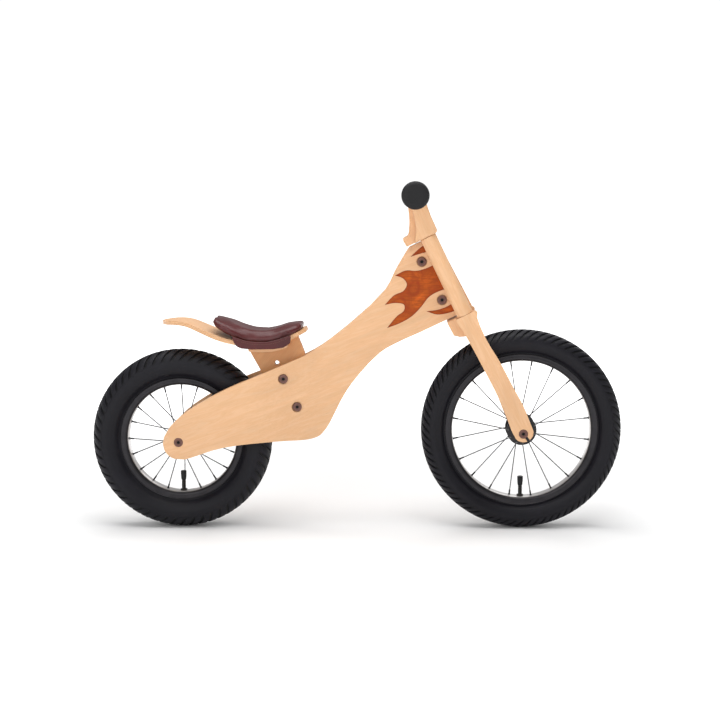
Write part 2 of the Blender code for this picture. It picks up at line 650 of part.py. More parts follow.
def wheel(word, centre, parent, radius, width, bead, inner_face, outer_face, spot):
    """One spoked wheel with its tyre, tube, valve, rim, hub, bearings, axle and axle bolts."""
    ax = empty(word + "_wheel_axis", centre) if parent is None else empty(word + "_wheel_axis", (FORK_OFFSET, 0, 0))
    ax.parent = parent
    if parent is not None:
        ax.rotation_euler = (0, HEAD_ANGLE, 0)
    seat = bead / 2
    flange = seat + RIM_FLANGE
    half = RIM_HALF_WIDTH
    rim_inner = seat - RIM_DEPTH
    bead_y = half - RIM_WALL - GAP
    outer = tyre_section(radius, width, bead, 0)
    inner = tyre_section(radius, width, bead, TYRE_WALL)
    lip = 0.0042
    clear = flange + 2 * GAP
    section = [(seat + GAP, -bead_y), (clear, -bead_y)] + outer + [(clear, bead_y), (seat + GAP, bead_y),
              (seat + GAP, bead_y - lip)] + inner[::-1] + [(seat + GAP, lip - bead_y)]
    tyre = finish_mesh(word + "_tyre", turned(section, True, 40), TYRE_RUBBER, ax, smooth=40)
    middle = (flange + radius) / 2 - 0.001
    tube_up = radius - middle - TYRE_WALL - 2 * GAP
    tube_down = (middle - flange) * 0.72
    tube_half = width / 2 - TYRE_WALL - 2 * GAP
    skins = []
    for wall in (0, TUBE_WALL):
        skin = []
        for i in range(8):
            a = math.radians(176) * (2 * i / 7 - 1)
            reach = (tube_up if math.cos(a) > 0 else tube_down) * TUBE_SLACK - wall
            skin.append((middle + reach * math.cos(a), (tube_half * TUBE_SLACK - wall) * math.sin(a)))
        skins.append(skin)
    ring = skins[0] + skins[1][::-1]
    finish_mesh(word + "_inner_tube", turned(ring, True, 32), BLACK_PLASTIC, ax, smooth=40)
    channel = [(rim_inner, -half * 0.62), (seat - 0.001, -half), (flange, -half), (flange, -half + RIM_WALL),
               (seat, -half + RIM_WALL), (seat - 0.003, -half * 0.38)]
    rim_profile = channel + [(r, -y) for r, y in reversed(channel)]
    rim = finish_mesh(word + "_rim", turned(rim_profile, True, 40), BLACK_ALLOY, ax, smooth=30)
    hub_and_spokes(word, ax, rim_inner, inner_face)
    valve(word, ax, rim, tyre, rim_inner, middle - tube_down)
    axle(word, ax, inner_face, outer_face, spot)
    return ax


def hub_and_spokes(word, ax, rim_inner, inner_face):
    end = inner_face - 0.0035
    pocket = end - BEARING_WIDTH
    bore = AXLE_RADIUS + 0.001
    bearing_hole = BEARING_RADIUS + GAP
    flange_y = pocket - 0.001
    profile = [(bearing_hole, end), (HUB_BARREL_RADIUS - 0.0005, end), (HUB_BARREL_RADIUS, end - 0.001),
               (HUB_BARREL_RADIUS, flange_y + 0.0015), (HUB_FLANGE_RADIUS, flange_y + 0.0015),
               (HUB_FLANGE_RADIUS, flange_y - 0.0015), (HUB_BARREL_RADIUS - 0.003, flange_y - 0.0025)]
    mirrored = [(r, -y) for r, y in reversed(profile)]
    inside = [(bearing_hole, -pocket + GAP), (bore, -pocket + GAP), (bore, pocket - GAP),
              (bearing_hole, pocket - GAP)]
    hub = finish_mesh(word + "_hub", turned(profile + mirrored + inside, True), BLACK_ALLOY, ax, smooth=30)
    bm = bmesh.new()
    for i in range(SPOKES):
        near = 1 if i % 2 else -1
        rim_angle = 2 * math.pi * (i + 0.5) / SPOKES
        hub_angle = rim_angle + near * math.radians(6.5)
        start = Vector(((HUB_FLANGE_RADIUS - 0.003) * math.cos(hub_angle), near * flange_y,
                        (HUB_FLANGE_RADIUS - 0.003) * math.sin(hub_angle)))
        stop = Vector(((rim_inner - 2 * GAP) * math.cos(rim_angle), near * 0.002,
                       (rim_inner - 2 * GAP) * math.sin(rim_angle)))
        spoke = aim(rod_shape(SPOKE_RADIUS, 0, (stop - start).length, 5), stop - start)
        bmesh.ops.translate(spoke, verts=spoke.verts, vec=start)
        bmesh.ops.remove_doubles(spoke, verts=spoke.verts, dist=1e-6)
        mesh = bpy.data.meshes.new("spoke")
        spoke.to_mesh(mesh)
        spoke.free()
        bm.from_mesh(mesh)
        bpy.data.meshes.remove(mesh)
    boolean(hub, cutter(word + "_spokes", bm, ax), "UNION")
    race = [(AXLE_RADIUS + GAP, pocket), (BEARING_RADIUS, pocket), (BEARING_RADIUS, end - GAP),
            (AXLE_RADIUS + GAP, end - GAP)]
    for side, name in ((-1, "right"), (1, "left")):
        finish_mesh(f"{word}_bearing_{name}", turned([(r, side * y) for r, y in race], True, SMALL_ROUND), STEEL, ax,
                    smooth=35)


def valve(word, ax, rim, tyre, rim_inner, tube_bottom):
    """The valve stem through the rim at the lowest point, and its cap."""
    cap_low = rim_inner - VALVE_STEM
    cap_top = cap_low - VALVE_CAP_LENGTH
    down = (0, 0, -1)
    stem = rod_shape(VALVE_RADIUS, cap_low + GAP, tube_bottom - 2 * GAP, 16)
    finish_mesh(word + "_valve_stem", aim(stem, down), BRASS, ax, smooth=35)
    cap = [(0, cap_top), (VALVE_CAP_RADIUS - 0.001, cap_top), (VALVE_CAP_RADIUS, cap_top + 0.001),
           (VALVE_CAP_RADIUS, cap_low - 0.003), (VALVE_CAP_RADIUS - 0.0008, cap_low), (0, cap_low)]
    finish_mesh(word + "_valve_cap", aim(turned(cap, segments=16), down), BLACK_PLASTIC, ax, smooth=35)
    hole = aim(rod_shape(VALVE_RADIUS + GAP, cap_low, tube_bottom, 16), down)
    boolean(rim, cutter(word + "_valve_hole", hole, ax))


def axle(word, ax, inner_face, outer_face, spot):
    """The fixed axle with its shoulders, and a socket-headed bolt into each end."""
    hub_end = inner_face - 0.0035
    thread = BOLT_SHANK_RADIUS + GAP
    tip = outer_face - spot - 0.001
    depth = 0.022
    profile = [(0, tip - depth), (thread, tip - depth), (thread, tip), (AXLE_RADIUS, tip),
               (AXLE_RADIUS, inner_face - GAP), (AXLE_SHOULDER_RADIUS, inner_face - GAP),
               (AXLE_SHOULDER_RADIUS, hub_end + GAP), (AXLE_RADIUS, hub_end + GAP)]
    whole = profile + [(r, -y) for r, y in reversed(profile)]
    shaft = finish_mesh(word + "_axle", turned(whole, segments=SMALL_ROUND), STEEL, ax, smooth=35)
    seat = outer_face - spot + GAP
    face = seat + BOLT_HEAD_HEIGHT
    edge = 0.0008
    for side, name in ((-1, "right"), (1, "left")):
        shape = [(0, face), (BOLT_HEAD_RADIUS - edge, face), (BOLT_HEAD_RADIUS, face - edge),
                 (BOLT_HEAD_RADIUS, seat), (BOLT_SHANK_RADIUS, seat), (BOLT_SHANK_RADIUS, tip - depth + 0.002),
                 (0, tip - depth + 0.002)]
        bolt = finish_mesh(f"{word}_axle_bolt_{name}",
                           turned([(r, side * y) for r, y in shape], segments=SMALL_ROUND), BRONZE, ax, smooth=35)
        ys = sorted((side * (face - HEX_DEPTH), side * (face + 0.001)))
        boolean(bolt, cutter(f"{word}_axle_socket_{name}", rod_shape(HEX_RADIUS, *ys, 6), ax))
    return shaft


def axle_holes(obs, word, ax, outer_face, spot):
    """The axle's holes in the pieces that hold it, with a seat for each bolt head."""
    seat = outer_face - spot
    stepped_drill(obs, word + "_axle_hole", AXLE_RADIUS + GAP, BOLT_HEAD_RADIUS + GAP, -seat, seat, 0.02,
                  (0, 0, 0), ax)


# ---------------------------------------------------------------- assembly
def head_bushes(plates, steer):
    """Flanged bushes at both ends of the head, and the bore for the steering pin."""
    bush_radius = PIN_RADIUS + GAP + BUSH_WALL
    thick = HEAD_CLEARANCE - 2 * GAP
    for word, end, way in (("upper", HEAD_TOP, 1), ("lower", HEAD_BOTTOM, -1)):
        profile = [(PIN_RADIUS + GAP, -BUSH_LENGTH), (bush_radius, -BUSH_LENGTH), (bush_radius, GAP),
                   (FLANGE_RADIUS, GAP), (FLANGE_RADIUS, GAP + thick), (PIN_RADIUS + GAP, GAP + thick)]
        bush = aim(turned(profile, True, SMALL_ROUND), (0, 0, way))
        finish_mesh(word + "_head_bush", bush, BRASS, steer, (0, 0, end), 35)
    stepped_drill(plates, "head_bore", PIN_RADIUS + 0.001, bush_radius + GAP, HEAD_BOTTOM + BUSH_LENGTH + GAP,
                  HEAD_TOP - BUSH_LENGTH - GAP, BUSH_LENGTH + 0.01, (0, 0, 0), steer, (0, 0, 1))


def build():
    clear_scene()
    steer = empty("steering_axis", STEER_FOOT, -HEAD_ANGLE)
    right = side_plate("side_plate_right", -1)
    left = side_plate("side_plate_left", 1)
    plates = [right, left]
    head_bushes(plates, steer)
    panel = seat_panel()
    shell = seat_shell()
    saddle_pad()
    for side, word in ((-1, "right"), (1, "left")):
        saddle_flap("saddle_flap_" + word, side)
        seat_cleat("seat_cleat_" + word, side)
    seat_screw("seat_screw_rear", REAR_AXLE.x + 0.138, shell, panel)
    seat_screw("seat_screw_front", REAR_AXLE.x + 0.180, shell, panel)
    for word, (t, s) in HEAD_BOLTS.items():
        x, z = steer_point(t, s)
        connector_bolt("head_bolt_" + word, x, z, plate_outer(x))
        bolt_holes(plates, "head_bolt_" + word, x, z, plate_outer(x))
    for word, (dx, dz) in SEAT_BOLTS.items():
        x, z = REAR_AXLE.x + dx, REAR_AXLE.z + dz
        connector_bolt("seat_bolt_" + word, x, z, plate_outer(x))
        bolt_holes(plates + [panel], "seat_bolt_" + word, x, z, plate_outer(x))
        for side, hand in ((-1, "right"), (1, "left")):
            spacer(f"seat_spacer_{word}_{hand}", side, x, z, 0.0085)
    legs = steering_cage(steer)
    rear = wheel("rear", REAR_AXLE, None, REAR_RADIUS, REAR_TYRE_WIDTH, REAR_BEAD_DIAMETER,
                 REAR_INNER, REAR_OUTER, SPOT_DEPTH)
    axle_holes(plates, "rear", rear, REAR_OUTER, SPOT_DEPTH)
    front = wheel("front", FRONT_AXLE, steer, FRONT_RADIUS, FRONT_TYRE_WIDTH, FRONT_BEAD_DIAMETER,
                  LEG_INNER, LEG_OUTER, SPOT_DEPTH)
    axle_holes(legs, "front", front, LEG_OUTER, SPOT_DEPTH)
    slot = prism([(-0.0026, 0), (0.0026, 0), (0.0026, -0.03), (-0.0026, -0.03)], -0.09, 0.09)
    slot_tool = cutter("dropout_slot", slot, steer, (FORK_OFFSET, 0, 0))
    slot_tool.rotation_euler = (0, -math.radians(12), 0)
    for leg in legs:
        boolean(leg, slot_tool)


build()
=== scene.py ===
"""Finishes a wooden balance bike: veneered ply, padded saddle, laced wheels and treaded tyres.

Lengths are in metres. +X is forward, +Y the rider's left and +Z up. Pieces of the steering
cage are described in the steering frame, where t runs forward, square to the steering axis,
and s runs up along it from the height of the front axle.
"""

import json
import math

import bmesh
import bpy
from mathutils import Matrix, Vector
from mathutils.geometry import delaunay_2d_cdt


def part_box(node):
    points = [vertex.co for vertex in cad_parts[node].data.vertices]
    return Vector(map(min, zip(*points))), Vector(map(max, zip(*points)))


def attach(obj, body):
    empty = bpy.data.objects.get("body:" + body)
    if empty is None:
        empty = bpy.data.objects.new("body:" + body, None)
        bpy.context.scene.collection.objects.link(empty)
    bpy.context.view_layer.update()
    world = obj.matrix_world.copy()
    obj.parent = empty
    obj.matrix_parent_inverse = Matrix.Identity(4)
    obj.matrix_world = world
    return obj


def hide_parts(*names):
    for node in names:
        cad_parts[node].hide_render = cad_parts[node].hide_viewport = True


bl_info = {
    "name": "Balance Bike Finish",
    "version": (1, 0, 0),
    "blender": (4, 5, 0),
    "location": "3D Viewport > Sidebar > Balance Bike",
    "description": "Finished pieces, materials and stage for a wooden balance bike",
    "category": "Object",
}

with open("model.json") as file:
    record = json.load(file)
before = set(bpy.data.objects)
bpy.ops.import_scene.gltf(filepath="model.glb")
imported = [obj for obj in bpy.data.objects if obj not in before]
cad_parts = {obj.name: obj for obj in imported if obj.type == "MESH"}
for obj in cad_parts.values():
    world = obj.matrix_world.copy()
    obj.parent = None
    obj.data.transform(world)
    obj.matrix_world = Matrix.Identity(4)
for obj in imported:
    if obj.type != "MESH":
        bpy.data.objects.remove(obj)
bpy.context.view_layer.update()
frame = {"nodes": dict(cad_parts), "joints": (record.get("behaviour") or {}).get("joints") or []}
JOINTS = {joint["name"]: joint for joint in frame["joints"]}


def middle_of(node):
    low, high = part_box(node)
    return (low + high) / 2


def radius_of(node):
    low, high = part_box(node)
    return (high.z - low.z) / 2


def width_of(node):
    low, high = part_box(node)
    return high.y - low.y


REAR = middle_of("rear_tyre")
FRONT = middle_of("front_tyre")
STEER_UP = Vector(JOINTS["steering"]["axis"]).normalized()
STEER_FORWARD = Vector((STEER_UP.z, 0, -STEER_UP.x))
STEER_FOOT = Vector(JOINTS["steering"]["pos_m"])
HEAD_ANGLE = math.atan2(-STEER_UP.x, STEER_UP.z)
CAGE_GRAIN = math.pi / 2 + HEAD_ANGLE
PLATE_THICKNESS = 0.012
PLATE_REAR_FACE = width_of("side_plate_right") + 0.00015
BEND_START = REAR.x + radius_of("rear_tyre") - 0.057
BEND_END = REAR.x + radius_of("rear_tyre") + 0.108
HEAD_FACE = 0.01215
REAR_BEAD_RADIUS = 0.1015
FRONT_BEAD_RADIUS = 0.127
RIM_DEPTH = 0.0068
RIM_FLANGE = 0.0062
SIDES = ((-1, "right"), (1, "left"))


# ------------------------------------------------------------------ shapes
def steer_world(t, s, y=0.0):
    """World place of a point of the steering frame."""
    return STEER_FOOT + STEER_FORWARD * t + STEER_UP * s + Vector((0, y, 0))


def smooth_line(points, steps=6, closed=False):
    """Points along a curve through the given points."""
    pts = [Vector(p) for p in points]
    if closed:
        pts = [pts[-1]] + pts + [pts[0], pts[1]]
    else:
        pts = [2 * pts[0] - pts[1]] + pts + [2 * pts[-1] - pts[-2]]
    out = []
    for a, b, c, d in zip(pts, pts[1:], pts[2:], pts[3:]):
        k = [0.0]
        for p, q in ((a, b), (b, c), (c, d)):
            k.append(k[-1] + max((q - p).length, 1e-9) ** 0.5)
        for i in range(steps):
            t = k[1] + (k[2] - k[1]) * i / steps
            ab = a.lerp(b, (t - k[0]) / (k[1] - k[0]))
            bc = b.lerp(c, (t - k[1]) / (k[2] - k[1]))
            cd = c.lerp(d, (t - k[2]) / (k[3] - k[2]))
            abc = ab.lerp(bc, (t - k[0]) / (k[2] - k[0]))
            bcd = bc.lerp(cd, (t - k[1]) / (k[3] - k[1]))
            out.append(abc.lerp(bcd, (t - k[1]) / (k[2] - k[1])))
    if not closed:
        out.append(pts[-2])
    return out


def lathe(profile, segments=64, closed=False):
    """A profile of (radius, y) points turned about the Y axis."""
    bm = bmesh.new()
    verts = [bm.verts.new((max(r, 0.0), y, 0)) for r, y in profile]
    pairs = list(zip(verts, verts[1:]))
    if closed:
        pairs.append((verts[-1], verts[0]))
    edges = [bm.edges.new(p) for p in pairs if max(p[0].co.x, p[1].co.x) > 0]
    bmesh.ops.spin(bm, geom=verts + edges, cent=(0, 0, 0), axis=(0, 1, 0), angle=2 * math.pi,
                   steps=segments, use_merge=True, use_duplicate=False)
    bmesh.ops.remove_doubles(bm, verts=bm.verts, dist=1e-7)
    bmesh.ops.recalc_face_normals(bm, faces=bm.faces)
    return bm


def loft(rings, closed=False):
    """A solid through rings of equal count, capped at both ends or joined end to end."""
    bm = bmesh.new()
    loops = [[bm.verts.new(p) for p in ring] for ring in rings]
    following = loops[1:] + loops[:1] if closed else loops[1:]
    for low, high in zip(loops, following):
        for i in range(len(low)):
            j = (i + 1) % len(low)
            bm.faces.new((low[i], low[j], high[j], high[i]))
    if not closed:
        bm.faces.new(loops[0])
        bm.faces.new(loops[-1])
    bmesh.ops.recalc_face_normals(bm, faces=bm.faces)
    return bm


def along(direction, place=(0, 0, 0)):
    """Turns the Y axis to a direction and moves to a place."""
    turn = Vector((0, 1, 0)).rotation_difference(Vector(direction).normalized())
    return Matrix.Translation(place) @ turn.to_matrix().to_4x4()


def new_object(name, mesh):
    ob = bpy.data.objects.new(name, mesh)
    bpy.context.scene.collection.objects.link(ob)
    return ob


def to_mesh(name, bm, matrix=None, sharp=35):
    if matrix is not None:
        bmesh.ops.transform(bm, matrix=matrix, verts=bm.verts)
    mesh = bpy.data.meshes.new(name)
    bm.to_mesh(mesh)
    bm.free()
    mesh.shade_smooth()
    mesh.set_sharp_from_angle(angle=math.radians(sharp))
    return mesh


def evaluated_mesh(ob, name):
    """The object's finished mesh, with its modifiers taken in."""
    graph = bpy.context.evaluated_depsgraph_get()
    mesh = bpy.data.meshes.new_from_object(ob.evaluated_get(graph))
    mesh.name = name
    return mesh


def register_piece(ob, mat, body, nodes=()):
    """Gives a finished piece its material, its body and the solids it stands for."""
    ob.data.materials.clear()
    ob.data.materials.append(mat)
    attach(ob, body)
    if nodes:
        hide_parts(*nodes)
    return ob


def dress(node, mat):
    """Gives a solid that is shown as it is its material."""
    materials = frame["nodes"][node].data.materials
    materials.clear()
    materials.append(mat)


def piece(name, bm, mat, body, nodes=(), matrix=None, sharp=35):
    return register_piece(new_object(name, to_mesh(name, bm, matrix, sharp)), mat, body, nodes)


def refined(name, node, mat, body, bevel=0.0022, ply=None, segments=3):
    """A copy of a solid with its flat faces merged and its edges rounded over."""
    bm = bmesh.new()
    bm.from_mesh(frame["nodes"][node].data)
    bmesh.ops.remove_doubles(bm, verts=bm.verts, dist=2e-6)
    bmesh.ops.dissolve_limit(bm, angle_limit=math.radians(0.4), verts=bm.verts, edges=bm.edges)
    mesh = bpy.data.meshes.new(name)
    bm.to_mesh(mesh)
    bm.free()
    base = new_object(name + "_base", mesh)
    round_over = base.modifiers.new("round_over", "BEVEL")
    round_over.width = bevel
    round_over.segments = segments
    round_over.limit_method = "ANGLE"
    round_over.angle_limit = math.radians(34)
    round_over.harden_normals = False
    done = evaluated_mesh(base, name)
    bpy.data.objects.remove(base)
    done.shade_smooth()
    done.set_sharp_from_angle(angle=math.radians(40))
    if ply is not None:
        layer = done.attributes.new("ply", "FLOAT", "POINT")
        for v in done.vertices:
            layer.data[v.index].value = ply(v.co)
    ob = new_object(name, done)
    keep = ob.modifiers.new("even_normals", "WEIGHTED_NORMAL")
    keep.keep_sharp = True
    even = evaluated_mesh(ob, name)
    ob.modifiers.clear()
    ob.data = even
    return register_piece(ob, mat, body, (node,))


# ------------------------------------------------------------------ repeats
def repeat_tree():
    """Sets one part on every point, turned and stretched as the points say."""
    tree = bpy.data.node_groups.new("Repeat Part", "GeometryNodeTree")
    made = {}
    for socket, kind, way in (("Points", "NodeSocketGeometry", "INPUT"),
                              ("Part", "NodeSocketObject", "INPUT"),
                              ("Finish", "NodeSocketMaterial", "INPUT"),
                              ("Result", "NodeSocketGeometry", "OUTPUT")):
        made[socket] = tree.interface.new_socket(name=socket, in_out=way, socket_type=kind)
    start = tree.nodes.new("NodeGroupInput")
    stop = tree.nodes.new("NodeGroupOutput")
    info = tree.nodes.new("GeometryNodeObjectInfo")
    place = tree.nodes.new("GeometryNodeInstanceOnPoints")
    turn = tree.nodes.new("GeometryNodeInputNamedAttribute")
    turn.data_type = "FLOAT_VECTOR"
    turn.inputs["Name"].default_value = "turn"
    rotation = tree.nodes.new("FunctionNodeEulerToRotation")
    stretch = tree.nodes.new("GeometryNodeInputNamedAttribute")
    stretch.data_type = "FLOAT_VECTOR"
    stretch.inputs["Name"].default_value = "stretch"
    real = tree.nodes.new("GeometryNodeRealizeInstances")
    finish = tree.nodes.new("GeometryNodeSetMaterial")
    link = tree.links.new
    link(start.outputs["Points"], place.inputs["Points"])
    link(start.outputs["Part"], info.inputs["Object"])
    link(info.outputs["Geometry"], place.inputs["Instance"])
    link(turn.outputs["Attribute"], rotation.inputs["Euler"])
    link(rotation.outputs["Rotation"], place.inputs["Rotation"])
    link(stretch.outputs["Attribute"], place.inputs["Scale"])
    link(place.outputs["Instances"], real.inputs["Geometry"])
    link(real.outputs["Geometry"], finish.inputs["Geometry"])
    link(start.outputs["Finish"], finish.inputs["Material"])
    link(finish.outputs["Geometry"], stop.inputs["Result"])
    return tree, {socket: item.identifier for socket, item in made.items()}


REPEAT = []


def repeated(name, bm, places, mat, body, nodes=(), sharp=35):
    """One mesh of a part set at every matrix in places."""
    if not REPEAT:
        REPEAT.extend(repeat_tree())
    tree, sockets = REPEAT
    part = new_object(name + "_part", to_mesh(name + "_part", bm, None, sharp))
    points = bpy.data.meshes.new(name + "_points")
    points.from_pydata([m.translation for m in places], [], [])
    turn = points.attributes.new("turn", "FLOAT_VECTOR", "POINT")
    stretch = points.attributes.new("stretch", "FLOAT_VECTOR", "POINT")
    for i, m in enumerate(places):
        turn.data[i].vector = m.to_euler()
        stretch.data[i].vector = m.to_scale()
    holder = new_object(name + "_points", points)
    mod = holder.modifiers.new("repeat", "NODES")
    mod.node_group = tree
    mod[sockets["Part"]] = part
    mod[sockets["Finish"]] = mat
    mesh = evaluated_mesh(holder, name)
    bpy.data.objects.remove(holder)
    bpy.data.objects.remove(part)
    return register_piece(new_object(name, mesh), mat, body, nodes)


# ------------------------------------------------------------------ materials
class Finish:
    """Builds one procedural material, node by node."""

    def __init__(self, name, roughness=0.5, metallic=0.0, colour=(0.5, 0.5, 0.5), **sockets):
        self.mat = bpy.data.materials.new(name)
        self.mat.use_nodes = True
        self.tree = self.mat.node_tree
        self.shader = self.tree.nodes["Principled BSDF"]
        self.shader.inputs["Base Color"].default_value = (*colour, 1)
        self.shader.inputs["Roughness"].default_value = roughness
        self.shader.inputs["Metallic"].default_value = metallic
        for key, value in sockets.items():
            self.shader.inputs[key.replace("_", " ")].default_value = value
        self.coords = self.add("ShaderNodeTexCoord").outputs["Object"]

    def add(self, kind, inputs=None, **settings):
        node = self.tree.nodes.new(kind)
        for key, value in settings.items():
            setattr(node, key, value)
        for key, value in (inputs or {}).items():
            if isinstance(value, bpy.types.NodeSocket):
                self.tree.links.new(value, node.inputs[key])
            else:
                node.inputs[key].default_value = value
        return node

    def mapped(self, scale, turn=(0, 0, 0), place=(0, 0, 0), coords=None):
        return self.add("ShaderNodeMapping", {"Vector": coords or self.coords, "Scale": scale,
                                              "Rotation": turn, "Location": place}).outputs[0]

    def noise(self, vector, scale=1.0, detail=3.0, roughness=0.5, distortion=0.0):
        return self.add("ShaderNodeTexNoise", {"Vector": vector, "Scale": scale, "Detail": detail,
                                               "Roughness": roughness,
                                               "Distortion": distortion}).outputs["Fac"]

    def ramp(self, value, stops):
        node = self.add("ShaderNodeValToRGB", {"Fac": value})
        ramp = node.color_ramp
        while len(ramp.elements) < len(stops):
            ramp.elements.new(0.5)
        for element, (place, colour) in zip(ramp.elements, stops):
            element.position = place
            element.color = (*colour, 1) if len(colour) == 3 else colour
        return node.outputs["Color"]

    def math(self, operation, a, b=0.0, c=0.0):
        return self.add("ShaderNodeMath", {0: a, 1: b, 2: c}, operation=operation).outputs[0]

    def mix(self, share, a, b, blend="MIX"):
        node = self.add("ShaderNodeMix", data_type="RGBA", blend_type=blend)
        for key, value in ((0, share), (6, a), (7, b)):
            if isinstance(value, bpy.types.NodeSocket):
                self.tree.links.new(value, node.inputs[key])
            else:
                node.inputs[key].default_value = value if key == 0 else (*value, 1)
        return node.outputs[2]

    def attribute(self, name):
        return self.add("ShaderNodeAttribute", attribute_name=name).outputs["Fac"]

    def colour(self, socket):
        self.tree.links.new(socket, self.shader.inputs["Base Color"])

    def rough(self, value, low, high):
        node = self.add("ShaderNodeMapRange", {"Value": value, "To Min": low, "To Max": high})
        self.tree.links.new(node.outputs[0], self.shader.inputs["Roughness"])

    def bump(self, height, strength, distance):
        node = self.add("ShaderNodeBump", {"Height": height, "Strength": strength, "Distance": distance})
        self.tree.links.new(node.outputs[0], self.shader.inputs["Normal"])


def shade(colour, factor):
    return tuple(min(c * factor, 1.0) for c in colour)


def wood_finish(name, colour, grain_turn, plies=True, swirl=1.0, roughness=0.40):
    """Lacquered veneer: broad soft figure, fine fibres, small flecks and plies at the edges."""
    f = Finish(name, roughness, Coat_Weight=0.08, Coat_Roughness=0.25, Specular_IOR_Level=0.35)
    with_grain = f.mapped((1, 1, 1), (0, grain_turn, 0))
    warm = (colour[0] * 0.93, colour[1] * 0.80, colour[2] * 0.66)
    broad = f.noise(f.mapped((5.0, 9, 24), coords=with_grain), 1.0, 4.0, 0.5, 1.4 * swirl)
    fibre = f.noise(f.mapped((26, 700, 900), coords=with_grain), 1.0, 3.0, 0.6)
    figure = f.noise(f.mapped((9, 20, 70), coords=with_grain), 1.0, 4.0, 0.55, 3.0 * swirl)
    fleck = f.noise(f.mapped((75, 900, 1100), (0, 0, 0), (3.1, 1.7, 5.3), with_grain), 1.0, 1.0)
    base = f.ramp(broad, [(0.26, shade(colour, 0.90)), (0.50, colour), (0.76, shade(colour, 1.07))])
    base = f.mix(f.ramp(figure, [(0.40, (0, 0, 0)), (0.58, (0.42, 0.42, 0.42)), (0.72, (0.08, 0.08, 0.08))]),
                 base, warm)
    base = f.mix(f.ramp(fibre, [(0.34, (0.14, 0.14, 0.14)), (0.60, (0, 0, 0))]), base, shade(warm, 0.72))
    base = f.mix(f.ramp(fleck, [(0.68, (0, 0, 0)), (0.76, (0.22, 0.22, 0.22))]), base, shade(warm, 0.55))
    if plies:
        step = f.math("PINGPONG", f.attribute("ply"), 1.0)
        layer = f.ramp(step, [(0.0, (0, 0, 0)), (0.40, (0, 0, 0)), (0.48, (0.85, 0.85, 0.85)),
                              (0.56, (0.42, 0.42, 0.42)), (1.0, (0.50, 0.50, 0.50))])
        base = f.mix(layer, base, (colour[0] * 0.60, colour[1] * 0.48, colour[2] * 0.36))
    f.colour(base)
    f.rough(broad, roughness - 0.06, roughness + 0.08)
    f.bump(fibre, 0.12, 0.00012)
    return f.mat


def burnt_finish():
    """Stained inlay that darkens to its outline, with blotchy figure."""
    opts = bpy.context.scene.bike_frame_finish
    inner, outer = opts.flame_inner[:3], opts.flame_edge[:3]
    f = Finish("flame_stain", 0.45, Specular_IOR_Level=0.2)
    blotch = f.noise(f.mapped((38, 38, 38), (0, -0.9, 0)), 1.0, 4.0, 0.6, 1.2)
    fibre = f.noise(f.mapped((45, 500, 420), (0, -0.6, 0)), 1.0, 3.0, 0.6, 0.6)
    body = f.ramp(blotch, [(0.30, shade(outer, 1.5)), (0.52, inner), (0.75, shade(inner, 1.5))])
    body = f.mix(f.ramp(fibre, [(0.40, (0.55, 0.55, 0.55)), (0.60, (0, 0, 0))]), body, shade(inner, 0.55))
    f.colour(f.mix(f.ramp(f.attribute("rim"), [(0.0, (0, 0, 0)), (0.55, (0.8, 0.8, 0.8)), (1.0, (1, 1, 1))]),
                   outer, body))
    f.rough(blotch, 0.40, 0.55)
    f.bump(fibre, 0.15, 0.0001)
    return f.mat


def metal_finish(name, colour, roughness, metallic=1.0):
    """Machined or coated metal with faint tool marks and smudges."""
    f = Finish(name, roughness, metallic)
    smudge = f.noise(f.mapped((60, 60, 60)), 1.0, 4.0, 0.6)
    fine = f.noise(f.mapped((900, 2600, 900)), 1.0, 2.0)
    f.colour(f.ramp(smudge, [(0.3, shade(colour, 0.86)), (0.7, shade(colour, 1.10))]))
    f.rough(smudge, max(roughness - 0.07, 0.08), roughness + 0.10)
    f.bump(fine, 0.08, 0.00006)
    return f.mat


def bronze_finish():
    """Dark bronze coating, with painted shade inside the socket and in the shallow ring round it."""
    colour = bpy.context.scene.bike_hardware.bronze[:3]
    f = Finish("bolt_bronze", 0.42, 0.35, Specular_IOR_Level=0.3)
    smudge = f.noise(f.mapped((160, 160, 160)), 1.0, 4.0, 0.6)
    fine = f.noise(f.mapped((1800, 1800, 1800)), 1.0, 2.0)
    coat = f.ramp(smudge, [(0.3, shade(colour, 0.80)), (0.7, shade(colour, 1.15))])
    # Painted shade: the vertex weight mixes the socket and its shallow ring toward near-black.
    f.colour(f.mix(f.attribute("painted_socket_shade"), coat, (0.004, 0.003, 0.003)))
    f.rough(smudge, 0.34, 0.52)
    f.bump(fine, 0.10, 0.00006)
    return f.mat


def rim_finish():
    """Black anodised alloy with a painted reflection: a bright band coloured on the inner face."""
    f = Finish("rim_alloy", 0.30, 0.70)
    smudge = f.noise(f.mapped((60, 60, 60)), 1.0, 4.0, 0.6)
    black = f.ramp(smudge, [(0.3, (0.022, 0.021, 0.024)), (0.7, (0.034, 0.032, 0.036))])
    # Painted reflection: the weighted inner-face vertices are coloured pale instead of black.
    f.colour(f.mix(f.attribute("bright"), black, (0.70, 0.68, 0.67)))
    f.rough(smudge, 0.24, 0.40)
    f.bump(f.noise(f.mapped((900, 2600, 900)), 1.0, 2.0), 0.06, 0.00006)
    return f.mat


